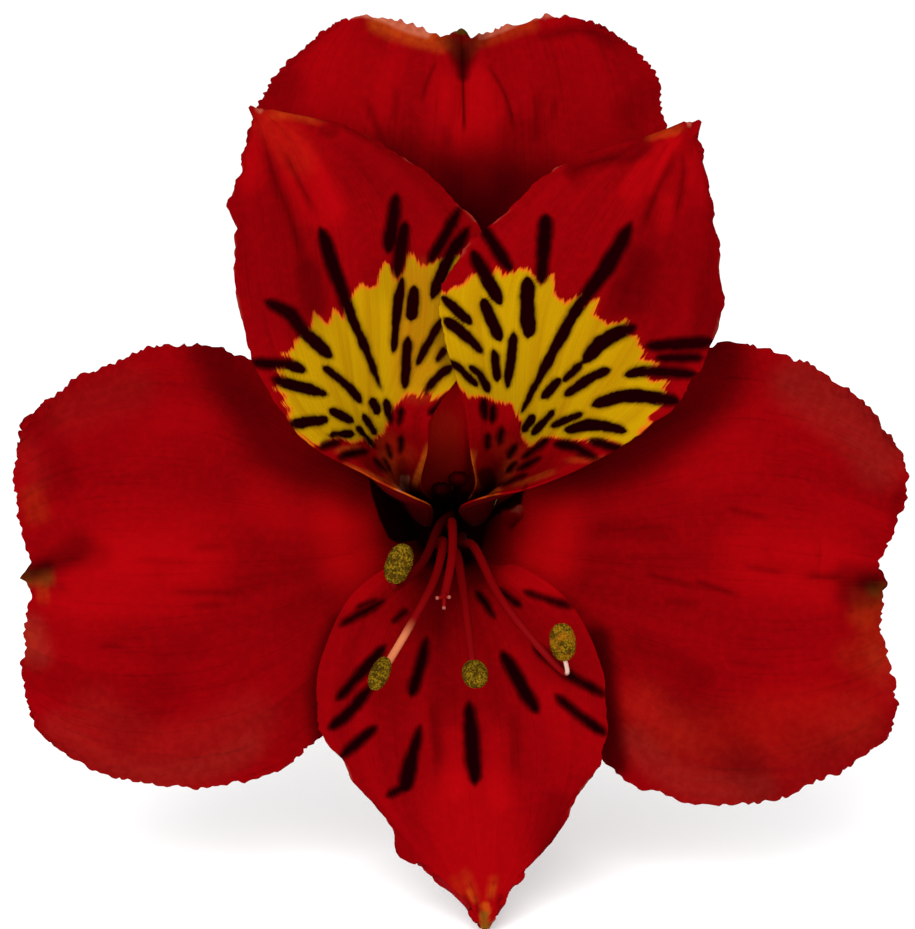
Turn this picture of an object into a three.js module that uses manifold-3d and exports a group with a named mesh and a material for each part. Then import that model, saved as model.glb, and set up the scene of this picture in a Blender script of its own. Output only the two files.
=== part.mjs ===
// A cut alstroemeria: one open bloom on its own short leafy stem. It lies on a surface, with the
// bloom facing forward (-Y) and tipped up a little. Millimetres, +Z up, and the origin is on the
// surface under the middle of the part.
import * as THREE from "three";
import { mergeVertices } from "three/addons/utils/BufferGeometryUtils.js";
import Module from "manifold-3d";

// ---------------------------------------------------------------- driving dimensions
const BLOOM_TILT = THREE.MathUtils.degToRad(12); // the bloom's axis above the surface
const THROAT_HEIGHT = 39.15; // the middle of the bloom's mouth above the surface
const MIDDLE = new THREE.Vector3(0.7, 110.2, 0); // of the part's outline, from below the throat
const TEPAL_THICKNESS = 0.6;
const TEPAL_ROWS = 22;
const TEPAL_COLUMNS = [-1, -0.86, -0.62, -0.36, -0.12, 0, 0.12, 0.36, 0.62, 0.86, 1];
const TOOTH = 0.008; // how far the margin's teeth stand out, as a share of the half width
const OUTER_CREASE = 0.5; // depth of the midrib's groove
const INNER_CREASE = 0.15;
const CREASE_WIDTH = 0.07; // as a share of the half width
const LEAF_THICKNESS = 0.6;
const LEAF_ROWS = 20;
const LEAF_COLUMNS = [-1, -0.55, 0, 0.55, 1];
const FILAMENT_RADIUS = 0.45;
const STYLE_RADIUS = 0.42;
const STIGMA_BRANCH = 1.3; // length of each of the stigma's three branches
const OVARY_RADIUS = 4.5;
const PEDICEL_RADIUS = 1.15;
const STEM_RADIUS = 2.0;
const STEM_SIDES = 8;

// ---------------------------------------------------------------- colours and surfaces
const surface = (color, roughness) => new THREE.MeshStandardMaterial({ color, roughness, metalness: 0 });
const OUTER_RED = surface("#a3060d", 0.5);
const INNER_RED = surface("#ad0710", 0.45);
const FILAMENT_RED = surface("#8f1410", 0.45);
const POLLEN = surface("#83701c", 0.9);
const ANTHER_DARK = surface("#4a1712", 0.6);
const STYLE_RED = surface("#9c1a1c", 0.5);
const OVARY_GREEN = surface("#4c6a2a", 0.5);
const STEM_GREEN = surface("#55752f", 0.5);
const LEAF_GREEN = surface("#3f6127", 0.55);

// ---------------------------------------------------------------- curves and sections
const vector = (p) => new THREE.Vector3(...p);

// A value of a list of numbers or points at t, 0 to 1, on a smooth curve through its entries.
function along(list, t) {
  const place = THREE.MathUtils.clamp(t, 0, 1) * (list.length - 1);
  const i = Math.min(Math.floor(place), list.length - 2);
  const f = place - i;
  const [p0, p1, p2, p3] = [i - 1, i, i + 1, i + 2].map(
    (k) => list[THREE.MathUtils.clamp(k, 0, list.length - 1)],
  );
  const number = (a, b, c, d) =>
    b + 0.5 * f * (c - a + f * (2 * a - 5 * b + 4 * c - d + f * (3 * (b - c) + d - a)));
  return Array.isArray(p1) ? p1.map((_, k) => number(p0[k], p1[k], p2[k], p3[k])) : number(p0, p1, p2, p3);
}

const smooth = (from, to, value) => THREE.MathUtils.smoothstep(value, from, to);

// The geometry of numbered triangles over a list of points.
function solid(points, triangles) {
  const geometry = new THREE.BufferGeometry();
  geometry.setAttribute("position", new THREE.Float32BufferAttribute(points.flatMap((p) => p.toArray()), 3));
  geometry.setIndex(triangles);
  geometry.computeVertexNormals();
  return geometry;
}

// A closed blade of even thickness, from a grid of points on its middle surface. The upper face
// looks along columns x rows, and both faces are split along the same diagonals.
function blade(grid, thickness) {
  const rows = grid.length;
  const columns = grid[0].length;
  const at = (i, j) =>
    grid[THREE.MathUtils.clamp(i, 0, rows - 1)][THREE.MathUtils.clamp(j, 0, columns - 1)];
  const points = [];
  for (const side of [0.5, -0.5]) {
    for (let i = 0; i < rows; i++) {
      for (let j = 0; j < columns; j++) {
        const across = at(i, j + 1).clone().sub(at(i, j - 1));
        const forward = at(i + 1, j).clone().sub(at(i - 1, j));
        const normal = across.cross(forward).normalize();
        points.push(at(i, j).clone().addScaledVector(normal, side * thickness));
      }
    }
  }
  const upper = (i, j) => i * columns + j;
  const lower = (i, j) => rows * columns + i * columns + j;
  const triangles = [];
  for (let i = 0; i < rows - 1; i++) {
    for (let j = 0; j < columns - 1; j++) {
      triangles.push(upper(i, j), upper(i, j + 1), upper(i + 1, j + 1));
      triangles.push(upper(i, j), upper(i + 1, j + 1), upper(i + 1, j));
      triangles.push(lower(i, j), lower(i + 1, j + 1), lower(i, j + 1));
      triangles.push(lower(i, j), lower(i + 1, j), lower(i + 1, j + 1));
    }
  }
  const rim = [];
  for (let j = 0; j < columns - 1; j++) rim.push([0, j]);
  for (let i = 0; i < rows - 1; i++) rim.push([i, columns - 1]);
  for (let j = columns - 1; j > 0; j--) rim.push([rows - 1, j]);
  for (let i = rows - 1; i > 0; i--) rim.push([i, 0]);
  rim.forEach((a, k) => {
    const b = rim[(k + 1) % rim.length];
    triangles.push(upper(...b), upper(...a), lower(...a));
    triangles.push(upper(...b), lower(...a), lower(...b));
  });
  return solid(points, triangles);
}

// A closed stalk along a curve through some points. radius(t, angle) gives its section, and the
// section's angle is measured from the side that looks away from `side`.
function stalk(path, radius, steps, sides, side = [1, 0, 0]) {
  const points = [];
  const centre = (t) => vector(along(path, t));
  for (let i = 0; i <= steps; i++) {
    const t = i / steps;
    const forward = centre(Math.min(t + 0.01, 1)).sub(centre(Math.max(t - 0.01, 0))).normalize();
    const up = forward.clone().cross(vector(side)).normalize();
    const right = up.clone().cross(forward);
    for (let k = 0; k < sides; k++) {
      const angle = (2 * Math.PI * (k + 0.5)) / sides;
      const r = radius(t, angle);
      points.push(
        centre(t)
          .addScaledVector(right, r * Math.sin(angle))
          .addScaledVector(up, r * Math.cos(angle)),
      );
    }
  }
  points.push(centre(0), centre(1));
  const triangles = [];
  const ring = (i, k) => i * sides + (k % sides);
  for (let k = 0; k < sides; k++) {
    for (let i = 0; i < steps; i++) {
      triangles.push(ring(i, k), ring(i + 1, k), ring(i + 1, k + 1));
      triangles.push(ring(i, k), ring(i + 1, k + 1), ring(i, k + 1));
    }
    triangles.push(ring(0, k + 1), points.length - 2, ring(0, k));
    triangles.push(ring(steps, k), points.length - 1, ring(steps, k + 1));
  }
  return solid(points, triangles);
}

// Several closed geometries that run into each other, joined into one.
function joined(geometries, manifold) {
  const [first, ...rest] = geometries.map((geometry) => {
    const bare = new THREE.BufferGeometry();
    bare.setAttribute("position", geometry.getAttribute("position"));
    bare.setIndex(geometry.index);
    const merged = mergeVertices(bare, 1e-4);
    return new manifold.Manifold(
      new manifold.Mesh({
        numProp: 3,
        vertProperties: merged.attributes.position.array,
        triVerts: new Uint32Array(merged.index.array),
      }),
    );
  });
  const mesh = rest.reduce((whole, piece) => whole.add(piece), first).getMesh();
  const geometry = new THREE.BufferGeometry();
  geometry.setAttribute("position", new THREE.BufferAttribute(new Float32Array(mesh.vertProperties), 3));
  geometry.setIndex(new THREE.BufferAttribute(new Uint32Array(mesh.triVerts), 1));
  geometry.computeVertexNormals();
  return geometry;
}

// ---------------------------------------------------------------- tepals
// The bloom's own frame: x to the right, y up across its face, z out of the throat. A tepal is
// a row of stations from its base to its tip. Each gives a point on the midrib, one on the left
// and one on the right edge, and the roll: half the angle that the section turns through, from
// 0.3 for a flat blade to 2 for a claw rolled into a tube.
const station = (mid, left, right, roll) => [...mid, ...left, ...right, roll];
const mirrored = (stations) =>
  stations.map(([mx, my, mz, lx, ly, lz, rx, ry, rz, roll]) => [
    -mx, my, mz, -rx, ry, rz, -lx, ly, lz, roll,
  ]);

const OUTER_SIDE_CLAW = [
  station([-3.1, -4.3, -36], [-2.1, -5.5, -36], [-3.7, -2.6, -36], 0.5),
  station([-4, -4.4, -30], [-2.6, -6.3, -30], [-4.3, -0.5, -30], 0.5),
  station([-5.3, -4.2, -24], [-3.2, -7.2, -23.4], [-5.5, 2.2, -23.4], 0.5),
  station([-7.8, -4.5, -17.5], [-4.8, -9.8, -16.6], [-7.5, 5.6, -16.4], 0.5),
];

const INNER_SIDE_CLAW = [
  station([-2.25, -1.2, -36], [-2.4, -2.2, -36], [-1.3, -0.4, -36], 0.6),
  station([-3.2, -0.4, -30], [-2.2, -2, -29.6], [-1.4, 0.2, -30], 1.3),
  station([-4, 0.2, -24], [-1.9, -1.8, -22.6], [-1.7, 0.5, -23.4], 2.0),
];

// lobe: how far the tip's two lobes stand past its notch. wave: height of the margin's waves.
const TEPALS = {
  outer_tepal_top: {
    material: OUTER_RED,
    crease: OUTER_CREASE,
    lobe: 1.4,
    wave: 0.5,
    waves: 2.5,
    stations: [
      station([0, 1.1, -36], [-2.6, 0.3, -36], [2.6, 0.3, -36], 0.5),
      station([0, 2.4, -30], [-3.9, 1.5, -30], [3.9, 1.5, -30], 0.5),
      station([0.1, 4.4, -24], [-5, 3.4, -23.6], [5, 3.4, -23.6], 0.5),
      station([0.3, 7.8, -17.5], [-6.2, 7, -16.4], [6.5, 7, -16.4], 0.4),
      station([0.5, 13, -12], [-8.5, 12.6, -11.2], [9.4, 12.6, -11.2], 0.4),
      station([0.8, 20.5, -8.5], [-14.5, 21, -7.2], [16, 21, -7.2], 0.4),
      station([0.9, 29, -6.5], [-19.2, 30, -6], [20.8, 30, -6], 0.4),
      station([1, 36.5, -5.8], [-18.8, 37.8, -6], [20.4, 37.6, -6], 0.4),
      station([1.1, 41.8, -6], [-16.6, 42.2, -6.6], [18.8, 42.2, -6.6], 0.4),
      station([1.1, 45.2, -6.6], [-13, 45.6, -7.8], [16.2, 45.4, -7.8], 0.4),
    ],
  },
  outer_tepal_left: {
    material: OUTER_RED,
    crease: OUTER_CREASE,
    lobe: 1.1,
    wave: 0.6,
    waves: 3,
    stations: [
      ...OUTER_SIDE_CLAW,
      station([-12.5, -5.4, -12.5], [-8, -13, -11.4], [-10.8, 8.8, -11], 0.4),
      station([-18.5, -6.1, -9], [-11.3, -20.2, -8.8], [-16.2, 12.3, -8], 0.4),
      station([-25.5, -6.5, -6.8], [-16.8, -25.3, -7], [-22, 15.3, -6], 0.4),
      station([-32, -6.6, -5.6], [-25, -26.9, -6.2], [-29.2, 15.3, -5.5], 0.4),
      station([-37, -6.6, -5.2], [-33.4, -25.6, -6], [-35.4, 12.8, -5.6], 0.4),
      station([-40.3, -6.6, -5.4], [-39, -21.4, -6.6], [-40.4, 8.8, -6.4], 0.4),
    ],
  },
  outer_tepal_right: {
    material: OUTER_RED,
    crease: OUTER_CREASE,
    lobe: 1.1,
    wave: 0.6,
    waves: 3.3,
    stations: [
      ...mirrored(OUTER_SIDE_CLAW),
      station([12.5, -5.4, -12.5], [11, 8.8, -11], [8.4, -13, -11.4], 0.4),
      station([19, -6.2, -9], [18.2, 12.3, -8], [12.4, -20.8, -8.8], 0.4),
      station([26.5, -6.7, -6.8], [25.2, 15.7, -6.2], [19.4, -27, -7], 0.4),
      station([33, -7, -5.6], [32.4, 14.5, -5.6], [28.9, -28.4, -6.4], 0.4),
      station([38, -7.1, -5.2], [38.4, 10.9, -5.8], [36.9, -26, -6.4], 0.4),
      station([41.3, -7.1, -5.4], [42.4, 6.6, -6.6], [41.2, -22.2, -7], 0.4),
    ],
  },
  inner_tepal_left: {
    material: INNER_RED,
    crease: INNER_CREASE,
    lobe: 0,
    wave: 0.3,
    waves: 2,
    stations: [
      ...INNER_SIDE_CLAW,
      station([-5.5, 2.2, -17], [-1.8, 0, -13], [-2.9, 2.2, -15.2], 2.3),
      station([-7.4, 5.2, -12.5], [-3.8, 1.1, -9], [-2.3, 5.2, -9.8], 2.2),
      station([-8.6, 8.4, -8.5], [-7.8, 3, -6], [-1.6, 9, -7], 1.3),
      station([-9.3, 14.1, -5], [-14.3, 6.9, -3.5], [2.4, 15, -5.4], 0.9),
      station([-10, 20.7, -2.4], [-19, 15, -1.5], [3.6, 20.7, -4.6], 0.6),
      station([-10.9, 27.4, -0.9], [-20.3, 23.3, -0.5], [2.9, 26.6, -3.6], 0.5),
      station([-13.1, 32.4, -0.2], [-20.6, 29.3, -0.6], [-3.6, 32.7, -1.8], 0.4),
      station([-15.5, 35.5, -0.2], [-19.3, 33.6, -0.8], [-10, 36.2, -1], 0.4),
      station([-17.7, 37.5, -0.4], [-18.2, 36.6, -0.6], [-16.2, 37.2, -0.6], 0.4),
    ],
  },
  inner_tepal_right: {
    material: INNER_RED,
    crease: INNER_CREASE,
    lobe: 0,
    wave: 0.3,
    waves: 2.4,
    stations: [
      ...mirrored(INNER_SIDE_CLAW),
      station([5.1, 2.2, -17], [2.5, 2.2, -15.2], [0.9, -0.1, -13], 2.3),
      station([7.2, 5, -12.5], [2.1, 4.8, -9.8], [3.7, 1.1, -9], 2.2),
      station([9, 7.4, -8.5], [1.3, 9.8, -6], [7.6, 1.9, -5.8], 1.3),
      station([10.5, 12.9, -4.5], [0, 14.3, -2.2], [14.3, 4.7, -3], 0.9),
      station([12.4, 18.8, -1.8], [-0.9, 19.3, -0.9], [20.9, 9.3, -1], 0.6),
      station([14.7, 24.5, -0.2], [0.8, 23.8, -0.4], [24.9, 15.8, -0.2], 0.5),
      station([17.3, 29.5, 0.4], [4.8, 27.6, -0.2], [25.3, 23.2, 0.1], 0.4),
      station([19.8, 33.1, 0.4], [10.9, 32.5, -0.2], [24.6, 29.3, 0], 0.4),
      station([21.6, 35.2, 0.1], [17.1, 34.4, -0.2], [23.3, 33.2, -0.1], 0.4),
      station([22.6, 36.3, -0.1], [21.6, 36, -0.2], [23.1, 35.3, -0.2], 0.4),
    ],
  },
  inner_tepal_lower: {
    material: INNER_RED,
    crease: INNER_CREASE,
    lobe: 0,
    wave: 0.3,
    waves: 2.5,
    stations: [
      station([0, -5.1, -36], [1.2, -4.9, -36], [-1.2, -4.9, -36], 0.5),
      station([0, -5.7, -30], [2, -5.2, -30], [-2, -5.2, -30], 0.5),
      station([0, -6.3, -24], [3, -5.2, -23.2], [-3, -5.2, -23.2], 0.5),
      station([0.1, -7.4, -17.5], [4.4, -5.8, -16.2], [-4.2, -5.8, -16.2], 0.6),
      station([0.3, -9.4, -12], [7, -5.8, -10.3], [-5.4, -5.4, -10.3], 0.5),
      station([0.7, -14, -7.5], [11.4, -9, -6.8], [-9.6, -8.6, -6.8], 0.4),
      station([1.2, -19.5, -4.6], [14.2, -14.5, -4.4], [-12.3, -14.5, -4.4], 0.4),
      station([1.7, -25, -2.6], [14.9, -20.5, -3], [-12.6, -19.7, -3], 0.4),
      station([2.2, -30, -1.2], [13.4, -25.3, -2.2], [-10.6, -24.2, -2.2], 0.4),
      station([2.7, -34, -0.2], [10, -30.4, -1.4], [-6.3, -29.6, -1.4], 0.4),
      station([3, -36.8, 0.5], [6.7, -33.8, -0.4], [-2.4, -33.6, -0.4], 0.4),
      station([3.2, -38.4, 0.9], [4.9, -36.8, 0.5], [0.9, -36.6, 0.5], 0.4),
      station([3.3, -39.6, 1.2], [3.6, -39.3, 1.1], [2.9, -39.3, 1.1], 0.4),
    ],
  },
};

// A point of a tepal's middle surface, before its relief, at u from base to tip and v from the
// left edge, -1, to the right edge, 1.
function tepalPoint({ stations, lobe }, u, v) {
  const s = along(stations, u);
  const [mid, left, right] = [0, 3, 6].map((k) => vector(s.slice(k, k + 3)));
  const roll = s[9];
  const turn = Math.sin(roll * v) / Math.sin(roll);
  const rise = (1 - Math.cos(roll * v)) / (1 - Math.cos(roll));
  const half = right.clone().sub(left).multiplyScalar(0.5);
  const lift = right.clone().add(left).multiplyScalar(0.5).sub(mid);
  const forward = vector(along(stations, 1)).sub(vector(along(stations, 0.9))).normalize();
  const reach = lobe * Math.sin(Math.PI * Math.min(Math.abs(v), 1) ** 1.6) * smooth(0.8, 1, u);
  return mid.addScaledVector(half, turn).addScaledVector(lift, rise).addScaledVector(forward, reach);
}

// How far the surface stands out from that: the midrib's groove and the margin's waves.
function tepalRelief({ crease, wave, waves }, u, v) {
  const groove = -crease * Math.exp(-((v / CREASE_WIDTH) ** 2)) * smooth(0.3, 0.5, u);
  const phase = v > 0 ? 0 : 2.1;
  const ripple = wave * v ** 4 * Math.sin(2 * Math.PI * waves * u + phase) * smooth(0.4, 0.6, u);
  return groove + ripple;
}

function tepalGeometry(tepal) {
  const step = 0.002;
  const grid = [];
  for (let i = 0; i <= TEPAL_ROWS; i++) {
    const u = i / TEPAL_ROWS;
    const tooth = 1 + (i % 2 ? TOOTH : -TOOTH) * smooth(0.4, 0.5, u);
    grid.push(
      TEPAL_COLUMNS.map((column) => {
        const v = Math.abs(column) === 1 ? column * tooth : column;
        const point = tepalPoint(tepal, u, v);
        const [u0, u1] = [Math.max(u - step, 0), Math.min(u + step, 1)];
        const across = tepalPoint(tepal, u, v + step).sub(tepalPoint(tepal, u, v - step));
        const forward = tepalPoint(tepal, u1, v).sub(tepalPoint(tepal, u0, v));
        return point.addScaledVector(across.cross(forward).normalize(), tepalRelief(tepal, u, v));
      }),
    );
  }
  return blade(grid, TEPAL_THICKNESS);
}

// ---------------------------------------------------------------- stamens and style
// Each filament's path from the ovary to its anther, and the anther's foot and head. The second
// has shed some of its pollen. The last two are younger: their anthers are still closed, slender
// and down in the throat.
const OPEN = { radius: 1.08, length: 4, material: POLLEN };
const SHED = { radius: 0.9, length: 3.9, material: POLLEN };
const CLOSED = { radius: 0.9, length: 4.4, material: ANTHER_DARK };
const STAMENS = [
  {
    path: [[0, -1.3, -35.6], [0, -0.6, -24], [-0.4, -0.6, -14], [-2.4, -3.6, -6], [-5, -7.4, 0.4]],
    anther: [[-5.5, -7.1, 1.2], [-4.1, -3.3, 2.4]],
    stage: OPEN,
  },
  {
    path: [[-1.2, -3.2, -35.6], [-1.3, -3.8, -24], [-1.2, -3.4, -13], [-2.2, -7.2, -4.8], [-5.5, -14, 0.7]],
    anther: [[-6, -14.1, 1.2], [-7.2, -16.9, 3.2]],
    stage: SHED,
  },
  {
    path: [[0, -3.85, -35.6], [0, -4.4, -24], [0.7, -4.7, -13], [1.4, -9, -4.8], [2, -13.4, 0.2]],
    anther: [[2.1, -14.4, 0.9], [2.6, -16.7, 3.3]],
    stage: OPEN,
  },
  {
    path: [[1.2, -3.2, -35.6], [1.3, -3.8, -24], [2.4, -4, -13], [5.2, -9.2, -4], [10.6, -15.4, 0.2]],
    anther: [[10.8, -14.2, 1.2], [10.4, -10.9, 3.3]],
    stage: OPEN,
  },
  {
    path: [[0.6, 0, -35.6], [0.6, 0.8, -31.5], [0.75, 2, -28], [0.8, 2.5, -25.8]],
    anther: [[0.8, 2.55, -25.2], [0.8, 2.8, -21.4]],
    stage: CLOSED,
  },
  {
    path: [[-0.6, 0, -35.6], [-0.6, 0.7, -30], [-0.7, 1.4, -25], [-0.8, 1.6, -21.8]],
    anther: [[-0.8, 1.6, -21], [-0.9, 1.7, -17.2]],
    stage: CLOSED,
  },
];

const filamentGeometry = ({ path }) =>
  stalk(path, (t) => FILAMENT_RADIUS * (1.1 - 0.35 * t), 12, 5);

// An anther is a plump oblong with a groove along each side.
function antherGeometry({ anther: [foot, head], stage }) {
  const path = [foot, head].map(vector);
  const axis = path[1].clone().sub(path[0]);
  const middle = path[0].clone().addScaledVector(axis, 0.5);
  const half = axis.setLength(stage.length / 2);
  const ends = [middle.clone().sub(half), middle.clone().add(half)].map((p) => p.toArray());
  const plump = (t, angle) =>
    stage.radius * (0.16 + 0.84 * Math.sin(Math.PI * t) ** 0.6) * (1 - 0.14 * Math.cos(2 * angle));
  return stalk(ends, plump, 7, 8);
}

const STYLE_PATH = [[0, -2.5, -35.6], [0, -1.9, -24], [0.2, -1.6, -13], [0.2, -4.6, -5], [-0.5, -8.2, -0.4]];

function styleGeometry(manifold) {
  const tip = vector(STYLE_PATH.at(-1));
  const forward = tip.clone().sub(vector(along(STYLE_PATH, 0.93))).normalize();
  const branches = [0, 1, 2].map((k) => {
    const angle = (2 * Math.PI * k) / 3 + 0.6;
    const outward = new THREE.Vector3(Math.cos(angle), Math.sin(angle), 0);
    const path = [0, 0.55, 1].map((t) =>
      tip
        .clone()
        .addScaledVector(forward, STIGMA_BRANCH * (0.8 * t - 0.12))
        .addScaledVector(outward, STIGMA_BRANCH * 0.55 * t ** 2)
        .toArray(),
    );
    return stalk(path, (t) => STYLE_RADIUS * (0.75 - 0.25 * t), 3, 5);
  });
  const column = stalk(STYLE_PATH, () => STYLE_RADIUS, 12, 6);
  return joined([column, ...branches], manifold);
}

// ---------------------------------------------------------------- ovary, pedicel and stem
const OVARY_PATH = [[0, -2.5, -36.7], [0, -2.8, -40.5], [0, -3.4, -45.4]];
const OVARY_PROFILE = [0.92, 1, 0.97, 0.84, 0.62, 0.38, 0.27]; // share of the full radius

const ovaryGeometry = () =>
  stalk(
    OVARY_PATH,
    (t, angle) => OVARY_RADIUS * along(OVARY_PROFILE, t) * (1 + 0.07 * Math.cos(6 * angle)),
    6,
    24,
  );

// From here on the frame has its origin on the surface below the throat, and the surface is z = 0.
const PEDICEL_PATH = [[0, 43.9, 26.1], [-0.1, 59, 22.1], [-0.6, 75, 16.5], [-1, 91, 11.1]];
const STEM_PATH = [
  [-1, 91.4, 10.9], [-0.6, 119, 6.6], [1.2, 147, 3.5], [2.4, 171, 2.1], [2.5, 191, 1.84],
  [2.1, 211, 1.84], [1.4, 230, 1.84],
];

const pedicelGeometry = () =>
  stalk(PEDICEL_PATH, (t) => PEDICEL_RADIUS * (1 - 0.12 * Math.sin(Math.PI * t)), 12, 6);

// The stem's cut end lies on the surface along one of its flat sides.
function stemGeometry() {
  const radius = (t) => STEM_RADIUS * (0.8 + 0.2 * smooth(0, 0.5, t));
  const geometry = stalk(STEM_PATH, radius, 20, STEM_SIDES);
  const place = geometry.getAttribute("position");
  for (let i = 0; i < place.count; i++) place.setZ(i, Math.max(place.getZ(i), 0));
  return geometry;
}

// ---------------------------------------------------------------- leaves
// Each leaf: a path from the stem to its tip, its full width, and how it is turned over near its
// base. The upper side of an alstroemeria's leaf grows underneath, so the base is twisted.
const LEAVES = {
  bract_1: { path: [[-3.6, 94, 11.2], [-10, 103, 12], [-19, 113, 6], [-26, 122, 0.3]], width: 8 },
  bract_2: { path: [[1.6, 95, 11.2], [9, 103, 12.5], [19, 112, 7], [26, 120, 0.3]], width: 8 },
  bract_3: { path: [[-1, 96, 13.4], [0, 105, 19], [4, 116, 22], [7, 127, 20.5]], width: 7 },
  leaf_1: { path: [[-4, 119, 7.6], [-13, 129, 10], [-23, 145, 5.5], [-29, 160, 0.4], [-33, 175, -3]], width: 13 },
  leaf_2: { path: [[4.2, 141, 5.6], [13, 151, 9], [24, 167, 5], [31, 182, 0.4], [36, 198, -3]], width: 14 },
  leaf_3: { path: [[-1.6, 159, 5.6], [-7, 169, 13], [-14, 187, 15], [-20, 209, 8]], width: 13 },
  leaf_4: { path: [[5.9, 177, 3.9], [10, 189, 9], [14, 205, 8], [20, 224, 0.3]], width: 12 },
};

function leafGeometry({ path, width }) {
  const up = new THREE.Vector3(0, 0, 1);
  const grid = [];
  for (let i = 0; i <= LEAF_ROWS; i++) {
    const u = i / LEAF_ROWS;
    const centre = vector(along(path, u));
    const forward = vector(along(path, Math.min(u + 0.02, 1)))
      .sub(vector(along(path, Math.max(u - 0.02, 0))))
      .normalize();
    const right = forward.clone().cross(up).normalize();
    const normal = right.clone().cross(forward);
    const twist = Math.PI * (1 - smooth(0.02, 0.24, u));
    const across = right.clone().multiplyScalar(Math.cos(twist)).addScaledVector(normal, Math.sin(twist));
    const lift = normal.clone().multiplyScalar(Math.cos(twist)).addScaledVector(right, -Math.sin(twist));
    const stalkShare = 0.16 * (1 - smooth(0.12, 0.4, u));
    const open = Math.max(u - 0.1, 0) / 0.9; // from 0, where the narrow base ends, to 1 at the tip
    const half = (width / 2) * (stalkShare + 0.96 * Math.sin(Math.PI * open ** 0.8) ** 1.1 + 0.04);
    const free = smooth(LEAF_THICKNESS / 2, 3, centre.z); // 0 where the surface holds the leaf flat
    grid.push(
      LEAF_COLUMNS.map((v) => {
        const fold = 0.22 * half * Math.abs(v);
        const wave = 0.05 * width * v * v * Math.sin(9 * u + (v > 0 ? 1.2 : 0));
        const point = centre
          .clone()
          .addScaledVector(across, half * v)
          .addScaledVector(lift, free * (fold + wave));
        point.z = Math.max(point.z, LEAF_THICKNESS / 2);
        return point;
      }),
    );
  }
  return blade(grid, LEAF_THICKNESS);
}

// ---------------------------------------------------------------- assembly
const wasm = await Module();
wasm.setup();

function mesh(name, geometry, material) {
  const made = new THREE.Mesh(geometry, material);
  made.name = name;
  return made;
}

const bloom = new THREE.Group();
bloom.position.z = THROAT_HEIGHT;
bloom.rotation.x = Math.PI / 2 - BLOOM_TILT;
for (const [name, tepal] of Object.entries(TEPALS)) {
  bloom.add(mesh(name, tepalGeometry(tepal), tepal.material));
}
STAMENS.forEach((stamen, i) => {
  bloom.add(mesh(`filament_${i + 1}`, filamentGeometry(stamen), FILAMENT_RED));
  bloom.add(mesh(`anther_${i + 1}`, antherGeometry(stamen), stamen.stage.material));
});
bloom.add(mesh("style", styleGeometry(wasm), STYLE_RED));
bloom.add(mesh("ovary", ovaryGeometry(), OVARY_GREEN));

const plant = new THREE.Group();
plant.position.copy(MIDDLE).negate();
plant.add(bloom);
plant.add(mesh("pedicel", pedicelGeometry(), STEM_GREEN));
plant.add(mesh("stem", stemGeometry(), STEM_GREEN));
for (const [name, leaf] of Object.entries(LEAVES)) {
  plant.add(mesh(name, leafGeometry(leaf), LEAF_GREEN));
}

export default plant;
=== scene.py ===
# %% [markdown]
# # A cut red alstroemeria
# One bloom on its own leafy stem lies on a pale surface. The plain solids of its petals, stamens
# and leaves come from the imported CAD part, which is loaded first and never changed. Each is then
# replaced by a finer piece of the same form. What the solids can't hold is added here: thin
# margins, veins, the yellow blotch with its dark streaks, and pollen.

import math

import bpy
import numpy as np
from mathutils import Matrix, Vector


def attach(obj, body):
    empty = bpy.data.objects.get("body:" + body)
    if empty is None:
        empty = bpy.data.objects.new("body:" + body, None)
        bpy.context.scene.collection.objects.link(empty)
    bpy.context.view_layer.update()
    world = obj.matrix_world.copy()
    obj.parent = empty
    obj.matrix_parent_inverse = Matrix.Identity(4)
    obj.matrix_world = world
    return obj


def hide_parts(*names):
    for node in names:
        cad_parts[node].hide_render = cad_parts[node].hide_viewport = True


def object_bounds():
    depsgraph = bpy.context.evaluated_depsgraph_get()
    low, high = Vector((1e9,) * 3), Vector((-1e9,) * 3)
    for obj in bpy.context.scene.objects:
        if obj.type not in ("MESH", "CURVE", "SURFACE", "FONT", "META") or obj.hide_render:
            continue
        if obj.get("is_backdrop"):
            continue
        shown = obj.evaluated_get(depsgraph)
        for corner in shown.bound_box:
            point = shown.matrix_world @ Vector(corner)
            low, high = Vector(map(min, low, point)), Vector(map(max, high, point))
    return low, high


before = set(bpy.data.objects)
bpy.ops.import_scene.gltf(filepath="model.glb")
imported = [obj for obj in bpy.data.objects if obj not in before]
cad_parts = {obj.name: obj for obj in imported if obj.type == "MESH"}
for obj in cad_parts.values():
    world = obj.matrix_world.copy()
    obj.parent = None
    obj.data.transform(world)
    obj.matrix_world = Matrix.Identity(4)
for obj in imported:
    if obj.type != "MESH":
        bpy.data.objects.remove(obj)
cad_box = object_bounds()
corners = [[round(c, 4) for c in corner] for corner in cad_box]
print(len(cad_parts), "CAD nodes, from", corners[0], "to", corners[1], "m")

# %% [markdown]
# ## Frames
# The bloom is modelled in its own frame, in millimetres: x to the right, y up across its face and
# z out of the throat. That frame is tipped up by twelve degrees above the surface. The stem and
# leaves are in the plant's frame, which stands on the surface below the throat. Both end up in
# the part's frame, whose origin is under the middle of the outline.

# %% From the bloom and the plant to the part
MM = 0.001
BLOOM_TILT = math.radians(12)
THROAT_HEIGHT = 39.15
MIDDLE = np.array([0.7, 110.2, 0.0])


def plant_to_part(points):
    return points - MIDDLE


def bloom_to_part(points):
    """Tips points of the bloom up, lifts them to the throat's height and puts them in the part."""
    x, y, z = points.T
    sine, cosine = math.sin(BLOOM_TILT), math.cos(BLOOM_TILT)
    back, up = y * sine - z * cosine, y * cosine + z * sine + THROAT_HEIGHT
    return plant_to_part(np.column_stack([x, back, up]))


print("the throat is at", bloom_to_part(np.zeros((1, 3)))[0].round(2), "mm")

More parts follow.
